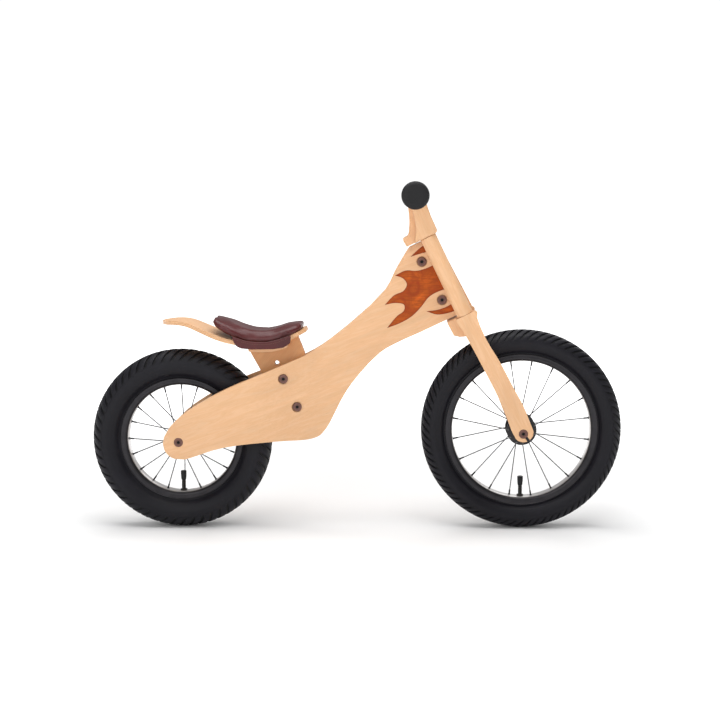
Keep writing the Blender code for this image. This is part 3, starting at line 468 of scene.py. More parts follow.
def tyre_finish():
    """Tyre rubber with painted shade that makes the casing blacker down in the tread's grooves, with a faint
    bluish bloom on the sides.
    """
    colour = bpy.context.scene.bike_wheels.rubber[:3]
    f = Finish("tyre_rubber", 0.5, Specular_IOR_Level=0.24)
    bloom = f.noise(f.mapped((26, 26, 26)), 1.0, 5.0, 0.65, 0.4)
    scuff = f.noise(f.mapped((130, 400, 130)), 1.0, 4.0, 0.7, 0.6)
    fine = f.noise(f.mapped((1400, 1400, 1400)), 1.0, 3.0, 0.6)
    base = f.ramp(bloom, [(0.30, shade(colour, 0.8)), (0.55, colour), (0.80, shade(colour, 1.5))])
    base = f.mix(f.ramp(scuff, [(0.60, (0, 0, 0)), (0.78, (0.35, 0.35, 0.35))]), base, shade(colour, 2.6))
    # Painted shade: the casing's weighted vertices between the tread blocks are coloured near-black.
    f.colour(f.mix(f.attribute("painted_groove_shade"), base, (0.0012, 0.0012, 0.0014)))
    f.rough(bloom, 0.42, 0.60)
    f.bump(fine, 0.22, 0.0002)
    return f.mat


def leather_finish():
    """Soft leatherette: pebbled grain with painted shade darkening its creases, with a light polish on the
    crown.
    """
    colour = bpy.context.scene.bike_saddle.colour[:3]
    f = Finish("saddle_leatherette", 0.38, Coat_Weight=0.10, Coat_Roughness=0.22, Specular_IOR_Level=0.30)
    cloud = f.noise(f.mapped((22, 22, 22)), 1.0, 4.0, 0.6, 0.5)
    pebble = f.add("ShaderNodeTexVoronoi", {"Vector": f.mapped((620, 620, 620)), "Scale": 1.0},
                   feature="DISTANCE_TO_EDGE").outputs["Distance"]
    wrinkle = f.noise(f.mapped((180, 260, 180)), 1.0, 5.0, 0.65, 0.8)
    base = f.ramp(cloud, [(0.28, shade(colour, 0.72)), (0.52, colour), (0.78, shade(colour, 1.35))])
    # Painted shade: the colour darkens along the edges of the pebble cells, in the creases.
    f.colour(f.mix(f.ramp(pebble, [(0.0, (0.55, 0.55, 0.55)), (0.16, (0, 0, 0))]), base, shade(colour, 0.45)))
    f.rough(cloud, 0.27, 0.42)
    grain = f.math("ADD", f.math("MINIMUM", pebble, 0.22), f.math("MULTIPLY", wrinkle, 0.35))
    f.bump(grain, 0.35, 0.0005)
    return f.mat


def rubber_finish(name, colour, roughness, grain=1400):
    """Moulded rubber: a matt skin with a dusty cast and fine mould texture."""
    f = Finish(name, roughness)
    f.shader.inputs["Specular IOR Level"].default_value = 0.30
    dust = f.noise(f.mapped((28, 28, 28)), 1.0, 5.0, 0.65, 0.4)
    fine = f.noise(f.mapped((grain, grain, grain)), 1.0, 3.0, 0.6)
    f.colour(f.ramp(dust, [(0.30, shade(colour, 0.8)), (0.55, colour), (0.80, shade(colour, 1.45))]))
    f.rough(dust, roughness - 0.08, roughness + 0.10)
    f.bump(fine, 0.22, 0.0002)
    return f.mat


FINISHES = {}


def finish(name):
    """Each named finish, made once."""
    if name not in FINISHES:
        FINISHES[name] = MAKERS[name]()
    return FINISHES[name]


def birch(name, turn, plies=True):
    return wood_finish(name, bpy.context.scene.bike_frame_finish.veneer[:3], turn, plies)


MAKERS = {
    "frame_veneer": lambda: birch("frame_veneer", 0.35),
    "cage_veneer": lambda: birch("cage_veneer", CAGE_GRAIN),
    "seat_veneer": lambda: birch("seat_veneer", 0.0),
    "panel_veneer": lambda: wood_finish("panel_veneer", bpy.context.scene.bike_frame_finish.panel[:3], 0.9,
                                        swirl=1.8),
    "cage_veneer_plain": lambda: birch("column_veneer", CAGE_GRAIN, False),
    "bar_veneer": lambda: birch("bar_veneer", 0.0, False),
    "flame_stain": burnt_finish,
    "bronze": bronze_finish,
    "rim": rim_finish,
    "brass_dark": lambda: metal_finish("valve_metal", (0.035, 0.032, 0.030), 0.40, 0.6),
    "steel": lambda: metal_finish("ground_steel", (0.50, 0.51, 0.53), 0.28),
    "brass": lambda: metal_finish("turned_brass", (0.56, 0.42, 0.20), 0.32),
    "spoke": lambda: metal_finish("spoke_steel", (0.12, 0.12, 0.125), 0.30),
    "alloy": lambda: metal_finish("black_alloy", (0.030, 0.029, 0.031), 0.30, 0.75),
    "leather": leather_finish,
    "thread": lambda: rubber_finish("saddle_thread", (0.16, 0.06, 0.045), 0.6, 3000),
    "tyre": tyre_finish,
    "tube": lambda: rubber_finish("tube_rubber", (0.02, 0.02, 0.022), 0.5),
    "grip": lambda: rubber_finish("grip_rubber", (0.008, 0.008, 0.009), 0.60, 2200),
    "plastic": lambda: rubber_finish("cap_plastic", (0.009, 0.009, 0.010), 0.42, 3200),
}


# ------------------------------------------------------------------ frame
def plate_outer(x):
    """Distance of a side plate's outer face from the middle plane."""
    share = min(max((x - BEND_START) / (BEND_END - BEND_START), 0), 1)
    return PLATE_REAR_FACE + (HEAD_FACE - PLATE_REAR_FACE) * (1 - math.cos(math.pi * share)) / 2


def ply_of_plate(co):
    return max(plate_outer(co.x) - abs(co.y), 0) / PLATE_THICKNESS * 8


def ply_across(low, high):
    """Plies stacked from one y to another, about 1.4 mm each."""
    count = 2 * max(1, round((high - low) / 0.0028))
    return lambda co: (co.y - low) / (high - low) * count


# The stained flames, as (t, s) in millimetres in the steering frame, with the sharp tips of each one.
FLAMES = (
    ((-8, 364), (-22, 362), (-42, 355.5), (-26, 353.5), (-8, 350)),
    ((-8, 326), (-24, 326), (-42, 329), (-60, 338), (-80, 338), (-70, 328), (-68, 316), (-78, 308),
     (-96, 308), (-118, 300), (-100, 295), (-88, 286), (-92, 277), (-108, 273), (-132, 262),
     (-108, 260), (-84, 262), (-62, 270), (-44, 279), (-27, 281), (-8, 279)),
    ((-8, 252), (-24, 251), (-40, 253), (-58, 259), (-44, 246), (-26, 240), (-8, 238)),
)
FLAME_TIPS = {0: (0, 2, 4), 1: (0, 4, 9, 14, 20), 2: (0, 3, 6)}


def flame_outline(index):
    """One flame's outline: smooth between its sharp tips."""
    points = [Vector((t * 0.001, s * 0.001)) for t, s in FLAMES[index]]
    tips = sorted(set(min(i, len(points) - 1) for i in FLAME_TIPS[index]))
    out = []
    for a, b in zip(tips, tips[1:] + [tips[0] + len(points)]):
        run = [points[i % len(points)] for i in range(a, b + 1)]
        out += smooth_line(run, 5)[:-1] if len(run) > 2 else run[:1]
    return out


def edge_distance(p, outline):
    best = 1.0
    for a, b in zip(outline, outline[1:] + outline[:1]):
        ab = b - a
        share = min(max((p - a).dot(ab) / max(ab.length_squared, 1e-12), 0), 1)
        best = min(best, (p - a - ab * share).length)
    return best


def inside(p, outline):
    hit = False
    for a, b in zip(outline, outline[1:] + outline[:1]):
        if (a.y > p.y) != (b.y > p.y) and p.x < (b.x - a.x) * (p.y - a.y) / (b.y - a.y) + a.x:
            hit = not hit
    return hit


def flame_inlay(name, side):
    """The stained flames on one side of the head, as a thin inlay."""
    bm = bmesh.new()
    layer = bm.verts.layers.float.new("rim")
    step = 0.0022  # spacing of the points inside a flame
    for index in range(len(FLAMES)):
        outline = flame_outline(index)
        low = Vector((min(p.x for p in outline), min(p.y for p in outline)))
        high = Vector((max(p.x for p in outline), max(p.y for p in outline)))
        points = list(outline)
        for i in range(int((high.x - low.x) / step) + 1):
            for j in range(int((high.y - low.y) / step) + 1):
                p = low + Vector((i * step, (j + 0.5 * (i % 2)) * step))
                if inside(p, outline) and edge_distance(p, outline) > step * 0.55:
                    points.append(p)
        ring = list(range(len(outline)))
        edges = list(zip(ring, ring[1:] + ring[:1]))
        found, _, faces, _, _, _ = delaunay_2d_cdt(points, edges, [], 1, 1e-7)
        rims = [min(edge_distance(p, outline) / 0.0035, 1) for p in found]
        for depth in (0.00012, -0.0006):
            verts = []
            for p, rim in zip(found, rims):
                v = bm.verts.new(steer_world(p.x, p.y, side * (HEAD_FACE + depth)))
                v[layer] = rim
                verts.append(v)
            for face in faces:
                bm.faces.new([verts[i] for i in face])
            if depth > 0:
                top = verts
        borders = [e for e in bm.edges if e.is_boundary and e.verts[0] in set(top) and e.verts[1] in set(top)]
        twin = dict(zip(top, verts))
        for e in borders:
            a, b = e.verts
            bm.faces.new((a, b, twin[b], twin[a]))
    bmesh.ops.recalc_face_normals(bm, faces=bm.faces)
    return piece(name, bm, finish("flame_stain"), "frame", sharp=50)


def build_frame():
    for side, word in SIDES:
        refined("frame_plate_" + word, "side_plate_" + word, finish("frame_veneer"), "frame",
                0.0024, ply_of_plate)
        flame_inlay("flame_inlay_" + word, side)
        refined("seat_glue_block_" + word, "seat_cleat_" + word, finish("seat_veneer"), "frame",
                0.0012, ply_across(*[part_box("seat_cleat_" + word)[k].y for k in (0, 1)]))
    refined("seat_post_panel", "seat_panel", finish("panel_veneer"), "frame", 0.0014,
            ply_across(*[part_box("seat_panel")[k].y for k in (0, 1)]))
    for level in ("upper", "lower"):
        for _, word in SIDES:
            dress(f"seat_spacer_{level}_{word}", finish("panel_veneer"))


# ------------------------------------------------------------------ saddle
# Heights (x, z) along the seat board's top and along the cushion's underside, from the rear axle's x.
SHELL_LINE = ((-0.0300, 0.0000), (-0.0030, 0.0010), (0.0170, -0.0020), (0.0380, -0.0105), (0.0620, -0.0210),
              (0.0820, -0.0280), (0.1000, -0.0320), (0.1200, -0.0345), (0.1450, -0.0355), (0.1650, -0.0335),
              (0.1850, -0.0270), (0.2180, -0.0120))
PAD_LINE = ((0.0570, -0.0028), (0.0700, -0.0110), (0.0830, -0.0180), (0.1000, -0.0260), (0.1200, -0.0325),
            (0.1450, -0.0349), (0.1650, -0.0328), (0.1850, -0.0263), (0.2165, -0.0118))
SEAT_HEIGHT = REAR.z + radius_of("rear_tyre") + 0.051
SHELL_THICKNESS = 0.0070
SWELL_LIMIT = 0.004


def seat_line(base=SHELL_LINE, steps=6):
    """A line along the saddle's length, from its tail to its nose."""
    return smooth_line([Vector((REAR.x + x, SEAT_HEIGHT + z)) for x, z in base], steps)


def ply_of_shell(line):
    def depth(co):
        best = min(range(len(line)), key=lambda i: (line[i] - Vector((co.x, co.z))).length_squared)
        a, b = line[max(best - 1, 0)], line[min(best + 1, len(line) - 1)]
        normal = Vector((-(b - a).y, (b - a).x)).normalized()
        below = (line[best] - Vector((co.x, co.z))).dot(normal)
        return min(max(below, 0), SHELL_THICKNESS) / SHELL_THICKNESS * 6
    return depth


def pad_base(shrink):
    """The pad before it is filled: a dished loft with rolled ends that lift off the shell."""
    line = seat_line(PAD_LINE, 5)
    count = len(line)
    full = 0.0475 - shrink
    rings = []
    for i, p in enumerate(line):
        a, b = line[max(i - 1, 0)], line[min(i + 1, count - 1)]
        normal = Vector((-(b - a).y, (b - a).x)).normalized()
        tail = min((p.x - line[0].x) / 0.034, 1)
        nose = min((line[-1].x - p.x) / 0.042, 1)
        rounded = [math.sqrt(max(1 - (1 - end) ** 2, 0)) for end in (tail, nose)]
        w = full * (0.60 + 0.40 * rounded[0]) * (0.58 + 0.42 * rounded[1])
        low = 0.0050 * (1 - min((p.x - line[0].x) / 0.012, 1)) ** 2
        low += 0.0050 * (1 - min((line[-1].x - p.x) / 0.012, 1)) ** 2
        rise = (0.0182 - shrink - low) * (0.80 + 0.20 * min(rounded))
        base = p + normal * (shrink * 0.5 + low - 0.0006)
        ring = []
        for k in range(28):
            turn = 2 * math.pi * k / 28
            across, up = math.cos(turn), math.sin(turn)
            y = math.copysign(abs(across) ** 0.45, across) * w
            height = 0.34 + 0.66 * up ** 0.7 if up >= 0 else 0.34 * (1 - abs(up) ** 0.45)
            dish = 0.14 * max(up, 0) * (1 - abs(across)) ** 1.5
            q = base + normal * rise * (height - dish)
            ring.append((q.x, y, q.y))
        rings.append(ring)
    return loft(rings)


def filled_pad(mesh):
    """Fills the pad with air against its cover, so that it swells between its seams."""
    pad = new_object("pad_cloth", mesh)
    remesh = pad.modifiers.new("even", "REMESH")
    remesh.mode = "VOXEL"
    remesh.voxel_size = 0.0035
    even = evaluated_mesh(pad, "pad_even")
    bpy.data.objects.remove(pad)
    start = [v.co.copy() for v in even.vertices]
    pad = new_object("pad_cloth", even)
    cloth = pad.modifiers.new("cover", "CLOTH")
    cloth.settings.use_pressure = True
    cloth.settings.uniform_pressure_force = 4.0
    cloth.settings.effector_weights.gravity = 0.0
    cloth.settings.quality = 6
    cloth.settings.tension_stiffness = 25
    cloth.settings.bending_stiffness = 2.5
    cloth.point_cache.frame_start = 1
    cloth.point_cache.frame_end = 20
    for step in range(1, 21):
        bpy.context.scene.frame_set(step)
    swollen = evaluated_mesh(pad, "saddle_pad_cover")
    bpy.context.scene.frame_set(1)
    bpy.data.objects.remove(pad)
    for v, at in zip(swollen.vertices, start):
        move = v.co - at
        if move.length > SWELL_LIMIT:
            v.co = at + move.normalized() * SWELL_LIMIT
    return swollen


def build_saddle():
    line = seat_line()
    refined("seat_board", "seat_shell", finish("seat_veneer"), "frame", 0.0022,
            ply_of_shell(line))
    mesh = filled_pad(to_mesh("pad_base", pad_base(0.0012)))
    pad = new_object("saddle_cushion", mesh)
    even = pad.modifiers.new("settle", "SMOOTH")
    even.factor = 0.5
    even.iterations = 6
    soft = pad.modifiers.new("soft", "SUBSURF")
    soft.levels = 1
    soft.render_levels = 1
    done = evaluated_mesh(pad, "saddle_cushion")
    pad.modifiers.clear()
    pad.data = done
    done.shade_smooth()
    register_piece(pad, finish("leather"), "frame", ("saddle_pad",))
    for side, word in SIDES:
        saddle_skirt(side, word)
    for word in ("front", "rear"):
        dress("seat_screw_" + word, finish("steel"))


def saddle_skirt(side, word):
    """A soft side flap with a rolled lower edge and a row of stitches."""
    node = "saddle_flap_" + word
    refined("saddle_skirt_" + word, node, finish("leather"), "frame", 0.0011)
    low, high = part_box(node)
    face = high.y if side > 0 else low.y
    line = [p for p in seat_line(PAD_LINE) if low.x + 0.006 < p.x < high.x - 0.006]
    places = []
    for a, b in zip(line, line[1:]):
        count = max(1, round((b - a).length / 0.0036))
        for k in range(count):
            p = a.lerp(b, (k + 0.5) / count)
            along_x = (b - a).normalized()
            m = along((along_x.x, 0, along_x.y), (p.x, face, p.y - 0.0030))
            places.append(m)
    stitch = lathe([(0, -0.0013), (0.0003, -0.0012), (0.00042, -0.0004), (0.00042, 0.0004), (0.0003, 0.0012),
                    (0, 0.0013)], 8)
    repeated("skirt_stitches_" + word, stitch, places, finish("thread"), "frame")


# ------------------------------------------------------------------ cage
def rod(name, node, axis, mat, body, edge=0.0006, segments=56):
    """A smooth round rod in place of a faceted one, with eased ends."""
    low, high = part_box(node)
    centre = (low + high) / 2
    if axis == "y":
        half = (high.y - low.y) / 2
        radius = (high.z - low.z) / 2
        matrix = Matrix.Translation(centre)
    else:
        corners = [v.co for v in frame["nodes"][node].data.vertices]
        spans = [(c - STEER_FOOT).dot(STEER_UP) for c in corners]
        radius = (high.y - low.y) / 2
        half = (max(spans) - min(spans)) / 2
        middle = STEER_FOOT + STEER_UP * (max(spans) + min(spans)) / 2
        matrix = along(STEER_UP, (middle.x, centre.y, middle.z))
    profile = [(0, -half), (radius - edge, -half), (radius, -half + edge), (radius, half - edge),
               (radius - edge, half), (0, half)]
    return piece(name, lathe(profile, segments), mat, body, (node,), matrix)


def grip_piece(side, word):
    """A moulded grip: soft ribs along the hand's place, a thumb collar and a wide safety end."""
    low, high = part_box("grip_" + word)
    centre = (low + high) / 2
    length = high.y - low.y
    end = (high.z - low.z) / 2
    bore = 0.0104
    ribs = []
    start, stop = 0.0095, length - 0.0215
    count = 15
    for i in range(count):
        y = start + (stop - start) * (i + 0.5) / count
        w = (stop - start) / count
        ribs += [(0.0150, y - w * 0.44), (0.0157, y - w * 0.26), (0.0157, y + w * 0.26),
                 (0.0150, y + w * 0.44)]
    tip = length
    profile = [(bore, 0), (0.0182, 0.0), (0.0192, 0.0007), (0.0195, 0.0018), (0.0190, 0.0034),
               (0.0172, 0.0060), (0.0154, 0.0082)]
    profile += ribs
    flange = tip - 0.013
    profile += [(0.0156, flange - 0.0052), (0.0164, flange - 0.0028), (end - 0.0028, flange),
                (end - 0.0010, flange + 0.0012), (end, flange + 0.0036), (end - 0.0002, tip - 0.0056),
                (end - 0.0012, tip - 0.0030), (end - 0.0032, tip - 0.0010), (end - 0.0060, tip),
                (0.0100, tip - 0.0001), (0.0045, tip - 0.0002), (0, tip - 0.0002),
                (0, tip - 0.0018), (bore, tip - 0.0018)]
    base = centre.y - side * length / 2
    points = [(r, side * y) for r, y in profile]
    piece("grip_sleeve_" + word, lathe(points, 72, True), finish("grip"), "fork",
          ("grip_" + word,), Matrix.Translation((centre.x, base, centre.z)), 50)


def build_cage():
    for _, word in SIDES:
        low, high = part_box("fork_leg_" + word)
        refined("leg_" + word, "fork_leg_" + word, finish("cage_veneer"), "fork", 0.0026,
                ply_across(low.y, high.y))
        refined("stem_cheek_" + word, "yoke_plate_" + word, finish("cage_veneer"), "fork",
                0.0026, ply_across(low.y, high.y))
        rod("steering_column_" + word, "column_" + word, "s", finish("cage_veneer_plain"), "fork")
    for node, name in (("crown_block", "crown"), ("yoke_block", "stem_block")):
        low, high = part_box(node)
        refined(name, node, finish("cage_veneer"), "fork", 0.0020, ply_across(low.y, high.y))
    rod("bar_dowel", "handlebar", "y", finish("bar_veneer"), "fork")
    for side, word in SIDES:
        grip_piece(side, word)
    for node, name in (("steering_pin", "steel"), ("handlebar_screw", "steel"), ("upper_head_bush", "brass"),
                       ("lower_head_bush", "brass")):
        dress(node, finish(name))


# ------------------------------------------------------------------ wheels
def wheel_point(centre, angle, radius, y):
    """A point on a wheel, its angle clockwise from the top as seen from the right."""
    return centre + Vector((radius * math.sin(angle), y, radius * math.cos(angle)))


def tyre_skin(radius, width, seat, lift=0.0):
    """Section constants of a tyre: centre radius, reach outwards, reach inwards and half width."""
    flange = seat + RIM_FLANGE
    middle = (flange + radius) / 2 - 0.001
    return middle, radius - middle - lift, middle - flange, width / 2 - lift * 0.6


def tyre_piece(word, centre, blocks, seat):
    """The casing with its side ribs, and the tread blocks set round it."""
    node = word + "_tyre"
    radius, width = radius_of(node), width_of(node)
    tread = 0.0026
    middle, up, down, half = tyre_skin(radius, width, seat, tread)
    side_ring = []
    for i in range(57):
        a = math.radians(150) * (2 * i / 56 - 1)
        reach = up if abs(a) < math.pi / 2 else down
        r = middle + reach * math.cos(a)
        y = half * math.sin(a)
        lift = 0.0
        turn = abs(math.degrees(a))
        for at in (96, 128):
            lift += 0.00055 * math.exp(-((turn - at) / 1.8) ** 2)
        if 66 < turn < 92:
            lift += 0.0003
        side_ring.append((r + lift * math.cos(a), y + lift * math.sin(a)))
    bead_y = 0.0117
    section = [(seat + 0.0004, -bead_y), (seat + 0.0069, -bead_y)] + side_ring + [
        (seat + 0.0069, bead_y), (seat + 0.0004, bead_y), (seat + 0.0004, bead_y - 0.0042)]
    inner = []
    for i in range(15):
        a = math.radians(150) * (1 - 2 * i / 14)
        reach = up - 0.0030 if abs(a) < math.pi / 2 else down - 0.0020
        inner.append((middle + reach * math.cos(a), (half - 0.0040) * math.sin(a)))
    section += inner + [(seat + 0.0004, 0.0042 - bead_y)]
    body = word + "_wheel"
    casing = lathe(section, 120, True)
    # Painted shade: this weight marks the casing between and under the tread blocks, which the tyre finish
    # colours near-black.
    painted_groove_shade = casing.verts.layers.float.new("painted_groove_shade")
    for v in casing.verts:
        turn = math.degrees(math.atan2(abs(v.co.y), math.hypot(v.co.x, v.co.z) - middle))
        v[painted_groove_shade] = min(max((74 - turn) / 6, 0), 1)
    piece(word + "_tyre_casing", casing, finish("tyre"), body, (node,),
          Matrix.Translation(centre), 50)
    pitch = 2 * math.pi / blocks
    sweep = math.radians(7.5)
    for side, hand in SIDES:
        rings = []
        stations = 9
        for k in range(stations):
            share = k / (stations - 1)
            a = math.radians(3.5 + 70 * share)
            lean = -sweep * share
            wide = pitch * (0.345 - 0.03 * share)
            fade = 1.0 if share < 0.86 else 1 - (share - 0.86) / 0.14 * 0.6
            ring = []
            for lift, spread in ((-0.0006, 1.10), (tread * fade * 0.88, 1.0), (tread * fade, 0.82),
                                 (tread * fade, -0.82), (tread * fade * 0.88, -1.0), (-0.0006, -1.10)):
                r = middle + (up + lift) * math.cos(a)
                y = side * (half + lift * 0.6) * math.sin(a)
                ring.append(wheel_point(Vector(), lean + wide * spread, r, y))
            rings.append(ring)
        block = loft(rings)
        places = [Matrix.Translation(centre) @ Matrix.Rotation(pitch * (i + 0.25 * side), 4, "Y")
                  for i in range(blocks)]
        repeated(f"{word}_tread_{hand}", block, places, finish("tyre"), body, sharp=40)


def rim_piece(word, centre, seat):
    """A box-section rim with rolled flanges."""
    half = 0.014
    inner = seat - RIM_DEPTH
    flange = seat + RIM_FLANGE
    side = [(inner, half * 0.35), (inner + 0.0003, half * 0.62), (inner + 0.0016, half * 0.80),
            (seat - 0.0022, half - 0.0006), (seat - 0.0008, half - 0.0002), (seat + 0.0006, half - 0.0005),
            (flange - 0.0012, half - 0.0005), (flange - 0.0006, half), (flange - 0.0001, half - 0.0006),
            (flange, half - 0.0012), (flange - 0.0005, half - 0.0019), (seat, half - 0.0020),
            (seat - 0.0004, half * 0.55), (seat - 0.0030, half * 0.38)]
    profile = side + [(r, -y) for r, y in reversed(side)]
    bm = lathe(profile, 128, True)
    # Painted reflection: this weight marks the inner face, which the rim finish colours bright.
    bright = bm.verts.layers.float.new("bright")
    for v in bm.verts:
        v[bright] = 1.0 if math.hypot(v.co.x, v.co.z) < inner + 0.0006 else 0.0
    piece(word + "_rim_band", bm, finish("rim"), word + "_wheel", (word + "_rim",),
          Matrix.Translation(centre), 30)


def hub_piece(word, centre, first_angle, rim_inner):
    """The hub shell with its flanges, laced to the rim by elbowed spokes with nipples."""
    node = word + "_hub"
    end = width_of(node) / 2
    pocket = end - 0.008
    flange_y = pocket - 0.001
    side = [(0.0123, end), (0.0146, end), (0.0155, end - 0.0008), (0.0156, flange_y + 0.0040),
            (0.0170, flange_y + 0.0022), (0.0250, flange_y + 0.0015), (0.0260, flange_y + 0.0008),
            (0.0260, flange_y - 0.0008), (0.0250, flange_y - 0.0015), (0.0165, flange_y - 0.0020),
            (0.0135, flange_y - 0.0040), (0.0122, flange_y - 0.0080)]
    shell = side + [(r, -y) for r, y in reversed(side)]
    shell += [(0.0123, -pocket + 0.0003), (0.0060, -pocket + 0.0003), (0.0060, pocket - 0.0003),
              (0.0123, pocket - 0.0003)]
    body = word + "_wheel"
    piece(word + "_hub_shell", lathe(shell, 64, True), finish("alloy"), body, (node,),
          Matrix.Translation(centre), 30)
    spokes = []
    heads = []
    nipples = []
    for k in range(20):
        rim_angle = first_angle + k * math.radians(18)
        near = -1 if k % 2 else 1
        sign = (-1) ** (k + 1 + k // 10)
        hub_angle = rim_angle + sign * math.radians(4.5)
        start = wheel_point(centre, hub_angle, 0.0232, near * (flange_y + 0.0016))
        stop = wheel_point(centre, rim_angle, rim_inner + 0.0006, near * 0.0022)
        direction = stop - start
        length = direction.length
        spokes.append(along(direction, start) @ Matrix.Diagonal((1, length, 1, 1)))
        heads.append(along((0, near, 0), start))
        nipple = stop - direction.normalized() * 0.0095
        nipples.append(along(direction, nipple))
    spoke = lathe([(0, 0), (0.0009, 0), (0.0009, 1), (0, 1)], 10)
    repeated(word + "_spokes", spoke, spokes, finish("spoke"), body)
    head = lathe([(0, -0.0036), (0.0011, -0.0036), (0.0011, 0), (0.0019, 0.0002), (0.0017, 0.0010),
                  (0.0009, 0.0016), (0, 0.0017)], 12)
    repeated(word + "_spoke_heads", head, heads, finish("spoke"), body)
    nip = lathe([(0, 0), (0.0011, 0), (0.0014, 0.0006), (0.0014, 0.0070), (0.0021, 0.0084), (0.0021, 0.0100),
                 (0, 0.0100)], 12)
    repeated(word + "_nipples", nip, nipples, finish("alloy"), body)


def valve_piece(word, centre, rim_inner):
    """The threaded stem with its lock ring, and a ribbed cap."""
    body = word + "_wheel"
    low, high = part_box(word + "_valve_stem")
    bottom, top = low.z - centre.z, high.z - centre.z
    cap_low, cap_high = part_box(word + "_valve_cap")
    down = along((0, 0, -1), centre)
    length = -bottom
    start = -top
    profile = [(0, start), (0.0036, start)]
    threads = 16
    wide, root = 0.0036, 0.0032
    thread_end = rim_inner - 0.0030
    for i in range(threads):
        y = start + (thread_end - start) * (i + 0.5) / threads
        profile += [(wide, y - 0.0003), (root, y)]
    profile += [(wide, thread_end), (wide, length), (0, length)]
    piece(word + "_valve_tube", lathe(profile, 28), finish("brass_dark"), body,
          (word + "_valve_stem",), down, 25)
    ring = lathe([(0.0037, 0), (0.0056, 0), (0.0060, 0.0005), (0.0060, 0.0018), (0.0056, 0.0023),
                  (0.0037, 0.0023)], 24, True)
    piece(word + "_valve_nut", ring, finish("brass_dark"), body, (), along((0, 0, -1), centre)
          @ Matrix.Translation((0, rim_inner - 0.0026, 0)), 25)
    near, far = -(cap_high.z - centre.z), -(cap_low.z - centre.z)
    rings = []
    for y, r in ((near, 0.0018), (near, 0.0046), (near + 0.0008, 0.0050), (near + 0.0040, 0.0050),
                 (far - 0.0050, 0.0047), (far - 0.0010, 0.0042), (far, 0.0036), (far, 0.0018)):
        ring_points = []
        for k in range(48):
            flute = 0.00028 if k % 4 in (0, 1) and r > 0.0039 else 0.0
            a = 2 * math.pi * k / 48
            ring_points.append(((r - flute) * math.cos(a), y, (r - flute) * math.sin(a)))
        rings.append(ring_points)
    piece(word + "_valve_top", loft(rings), finish("plastic"), body,
          (word + "_valve_cap",), down)


def build_wheels():
    opts = bpy.context.scene.bike_wheels
    for word, centre, blocks, seat, first in (("rear", REAR, opts.rear_blocks, REAR_BEAD_RADIUS, -1),
                                              ("front", FRONT, opts.front_blocks, FRONT_BEAD_RADIUS, 9)):
        rim_inner = seat - RIM_DEPTH
        tyre_piece(word, centre, blocks, seat)
        rim_piece(word, centre, seat)
        hub_piece(word, centre, math.radians(first), rim_inner)
        valve_piece(word, centre, rim_inner)
        for node, name in ((word + "_inner_tube", "tube"), (word + "_bearing_right", "steel"),
                           (word + "_bearing_left", "steel"), (word + "_axle", "steel")):
            dress(node, finish(name))


# ------------------------------------------------------------------ bolts
def socket_head(name, node, side, mat, body):
    """A socket-headed fastener: eased rim, shallow ring, deep hexagon socket."""
    low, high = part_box(node)
    centre = (low + high) / 2
    face = low.y if side < 0 else high.y
    back = high.y if side < 0 else low.y
    around = 48
    radius = 0.0078
    hexagon = 0.0028
    depth = abs(back - face)

    def circle(r, y):
        return [(r * math.cos(2 * math.pi * k / around), y, r * math.sin(2 * math.pi * k / around))
                for k in range(around)]

    def six(y):
        out = []
        for k in range(around):
            a = 2 * math.pi * k / around
            part = (a % (math.pi / 3)) - math.pi / 6
            r = hexagon * math.cos(math.pi / 6) / math.cos(part)
            out.append((r * math.cos(a), y, r * math.sin(a)))
        return out

    rings = [circle(0.0001, 0), circle(0.0034, 0), circle(0.0034, depth - 0.0030),
             circle(radius, depth - 0.0030), circle(radius, depth - 0.0010),
             circle(radius - 0.00025, depth - 0.0005),
             circle(radius - 0.0008, depth - 0.0001), circle(radius - 0.0014, depth), circle(0.0052, depth),
             circle(0.0047, depth - 0.0003), circle(0.0038, depth - 0.0003), six(depth - 0.0003),
             six(depth - 0.0022), circle(0.0001, depth - 0.0024)]
    matrix = Matrix.Translation((centre.x, back, centre.z))
    if side < 0:
        matrix = matrix @ Matrix.Rotation(math.pi, 4, "X")
    bm = loft(rings)
    # Painted shade: this vertex weight darkens the hexagon socket almost to black and the shallow ring
    # halfway.
    painted_socket_shade = bm.verts.layers.float.new("painted_socket_shade")
    for v in bm.verts:
        reach = math.hypot(v.co.x, v.co.z)
        if reach < 0.0030 and v.co.y > depth - 0.0028:
            v[painted_socket_shade] = 1.0 if v.co.y < depth - 0.0010 else 0.7
        else:
            v[painted_socket_shade] = 0.5 if 0.0040 < reach < 0.0050 and v.co.y > depth - 0.0010 else 0.0
    piece(name, bm, mat, body, (node,), matrix, 30)


def build_hardware():
    bronze = finish("bronze")
    for group in ("seat", "head"):
        for level in ("upper", "lower"):
            socket_head(f"{group}_screw_{level}", f"{group}_bolt_{level}", -1, bronze, "frame")
            dress(f"{group}_bolt_{level}_nut", bronze)
    for word, body in (("rear", "frame"), ("front", "fork")):
        for side, hand in SIDES:
            socket_head(f"{word}_axle_screw_{hand}", f"{word}_axle_bolt_{hand}", side, bronze, body)


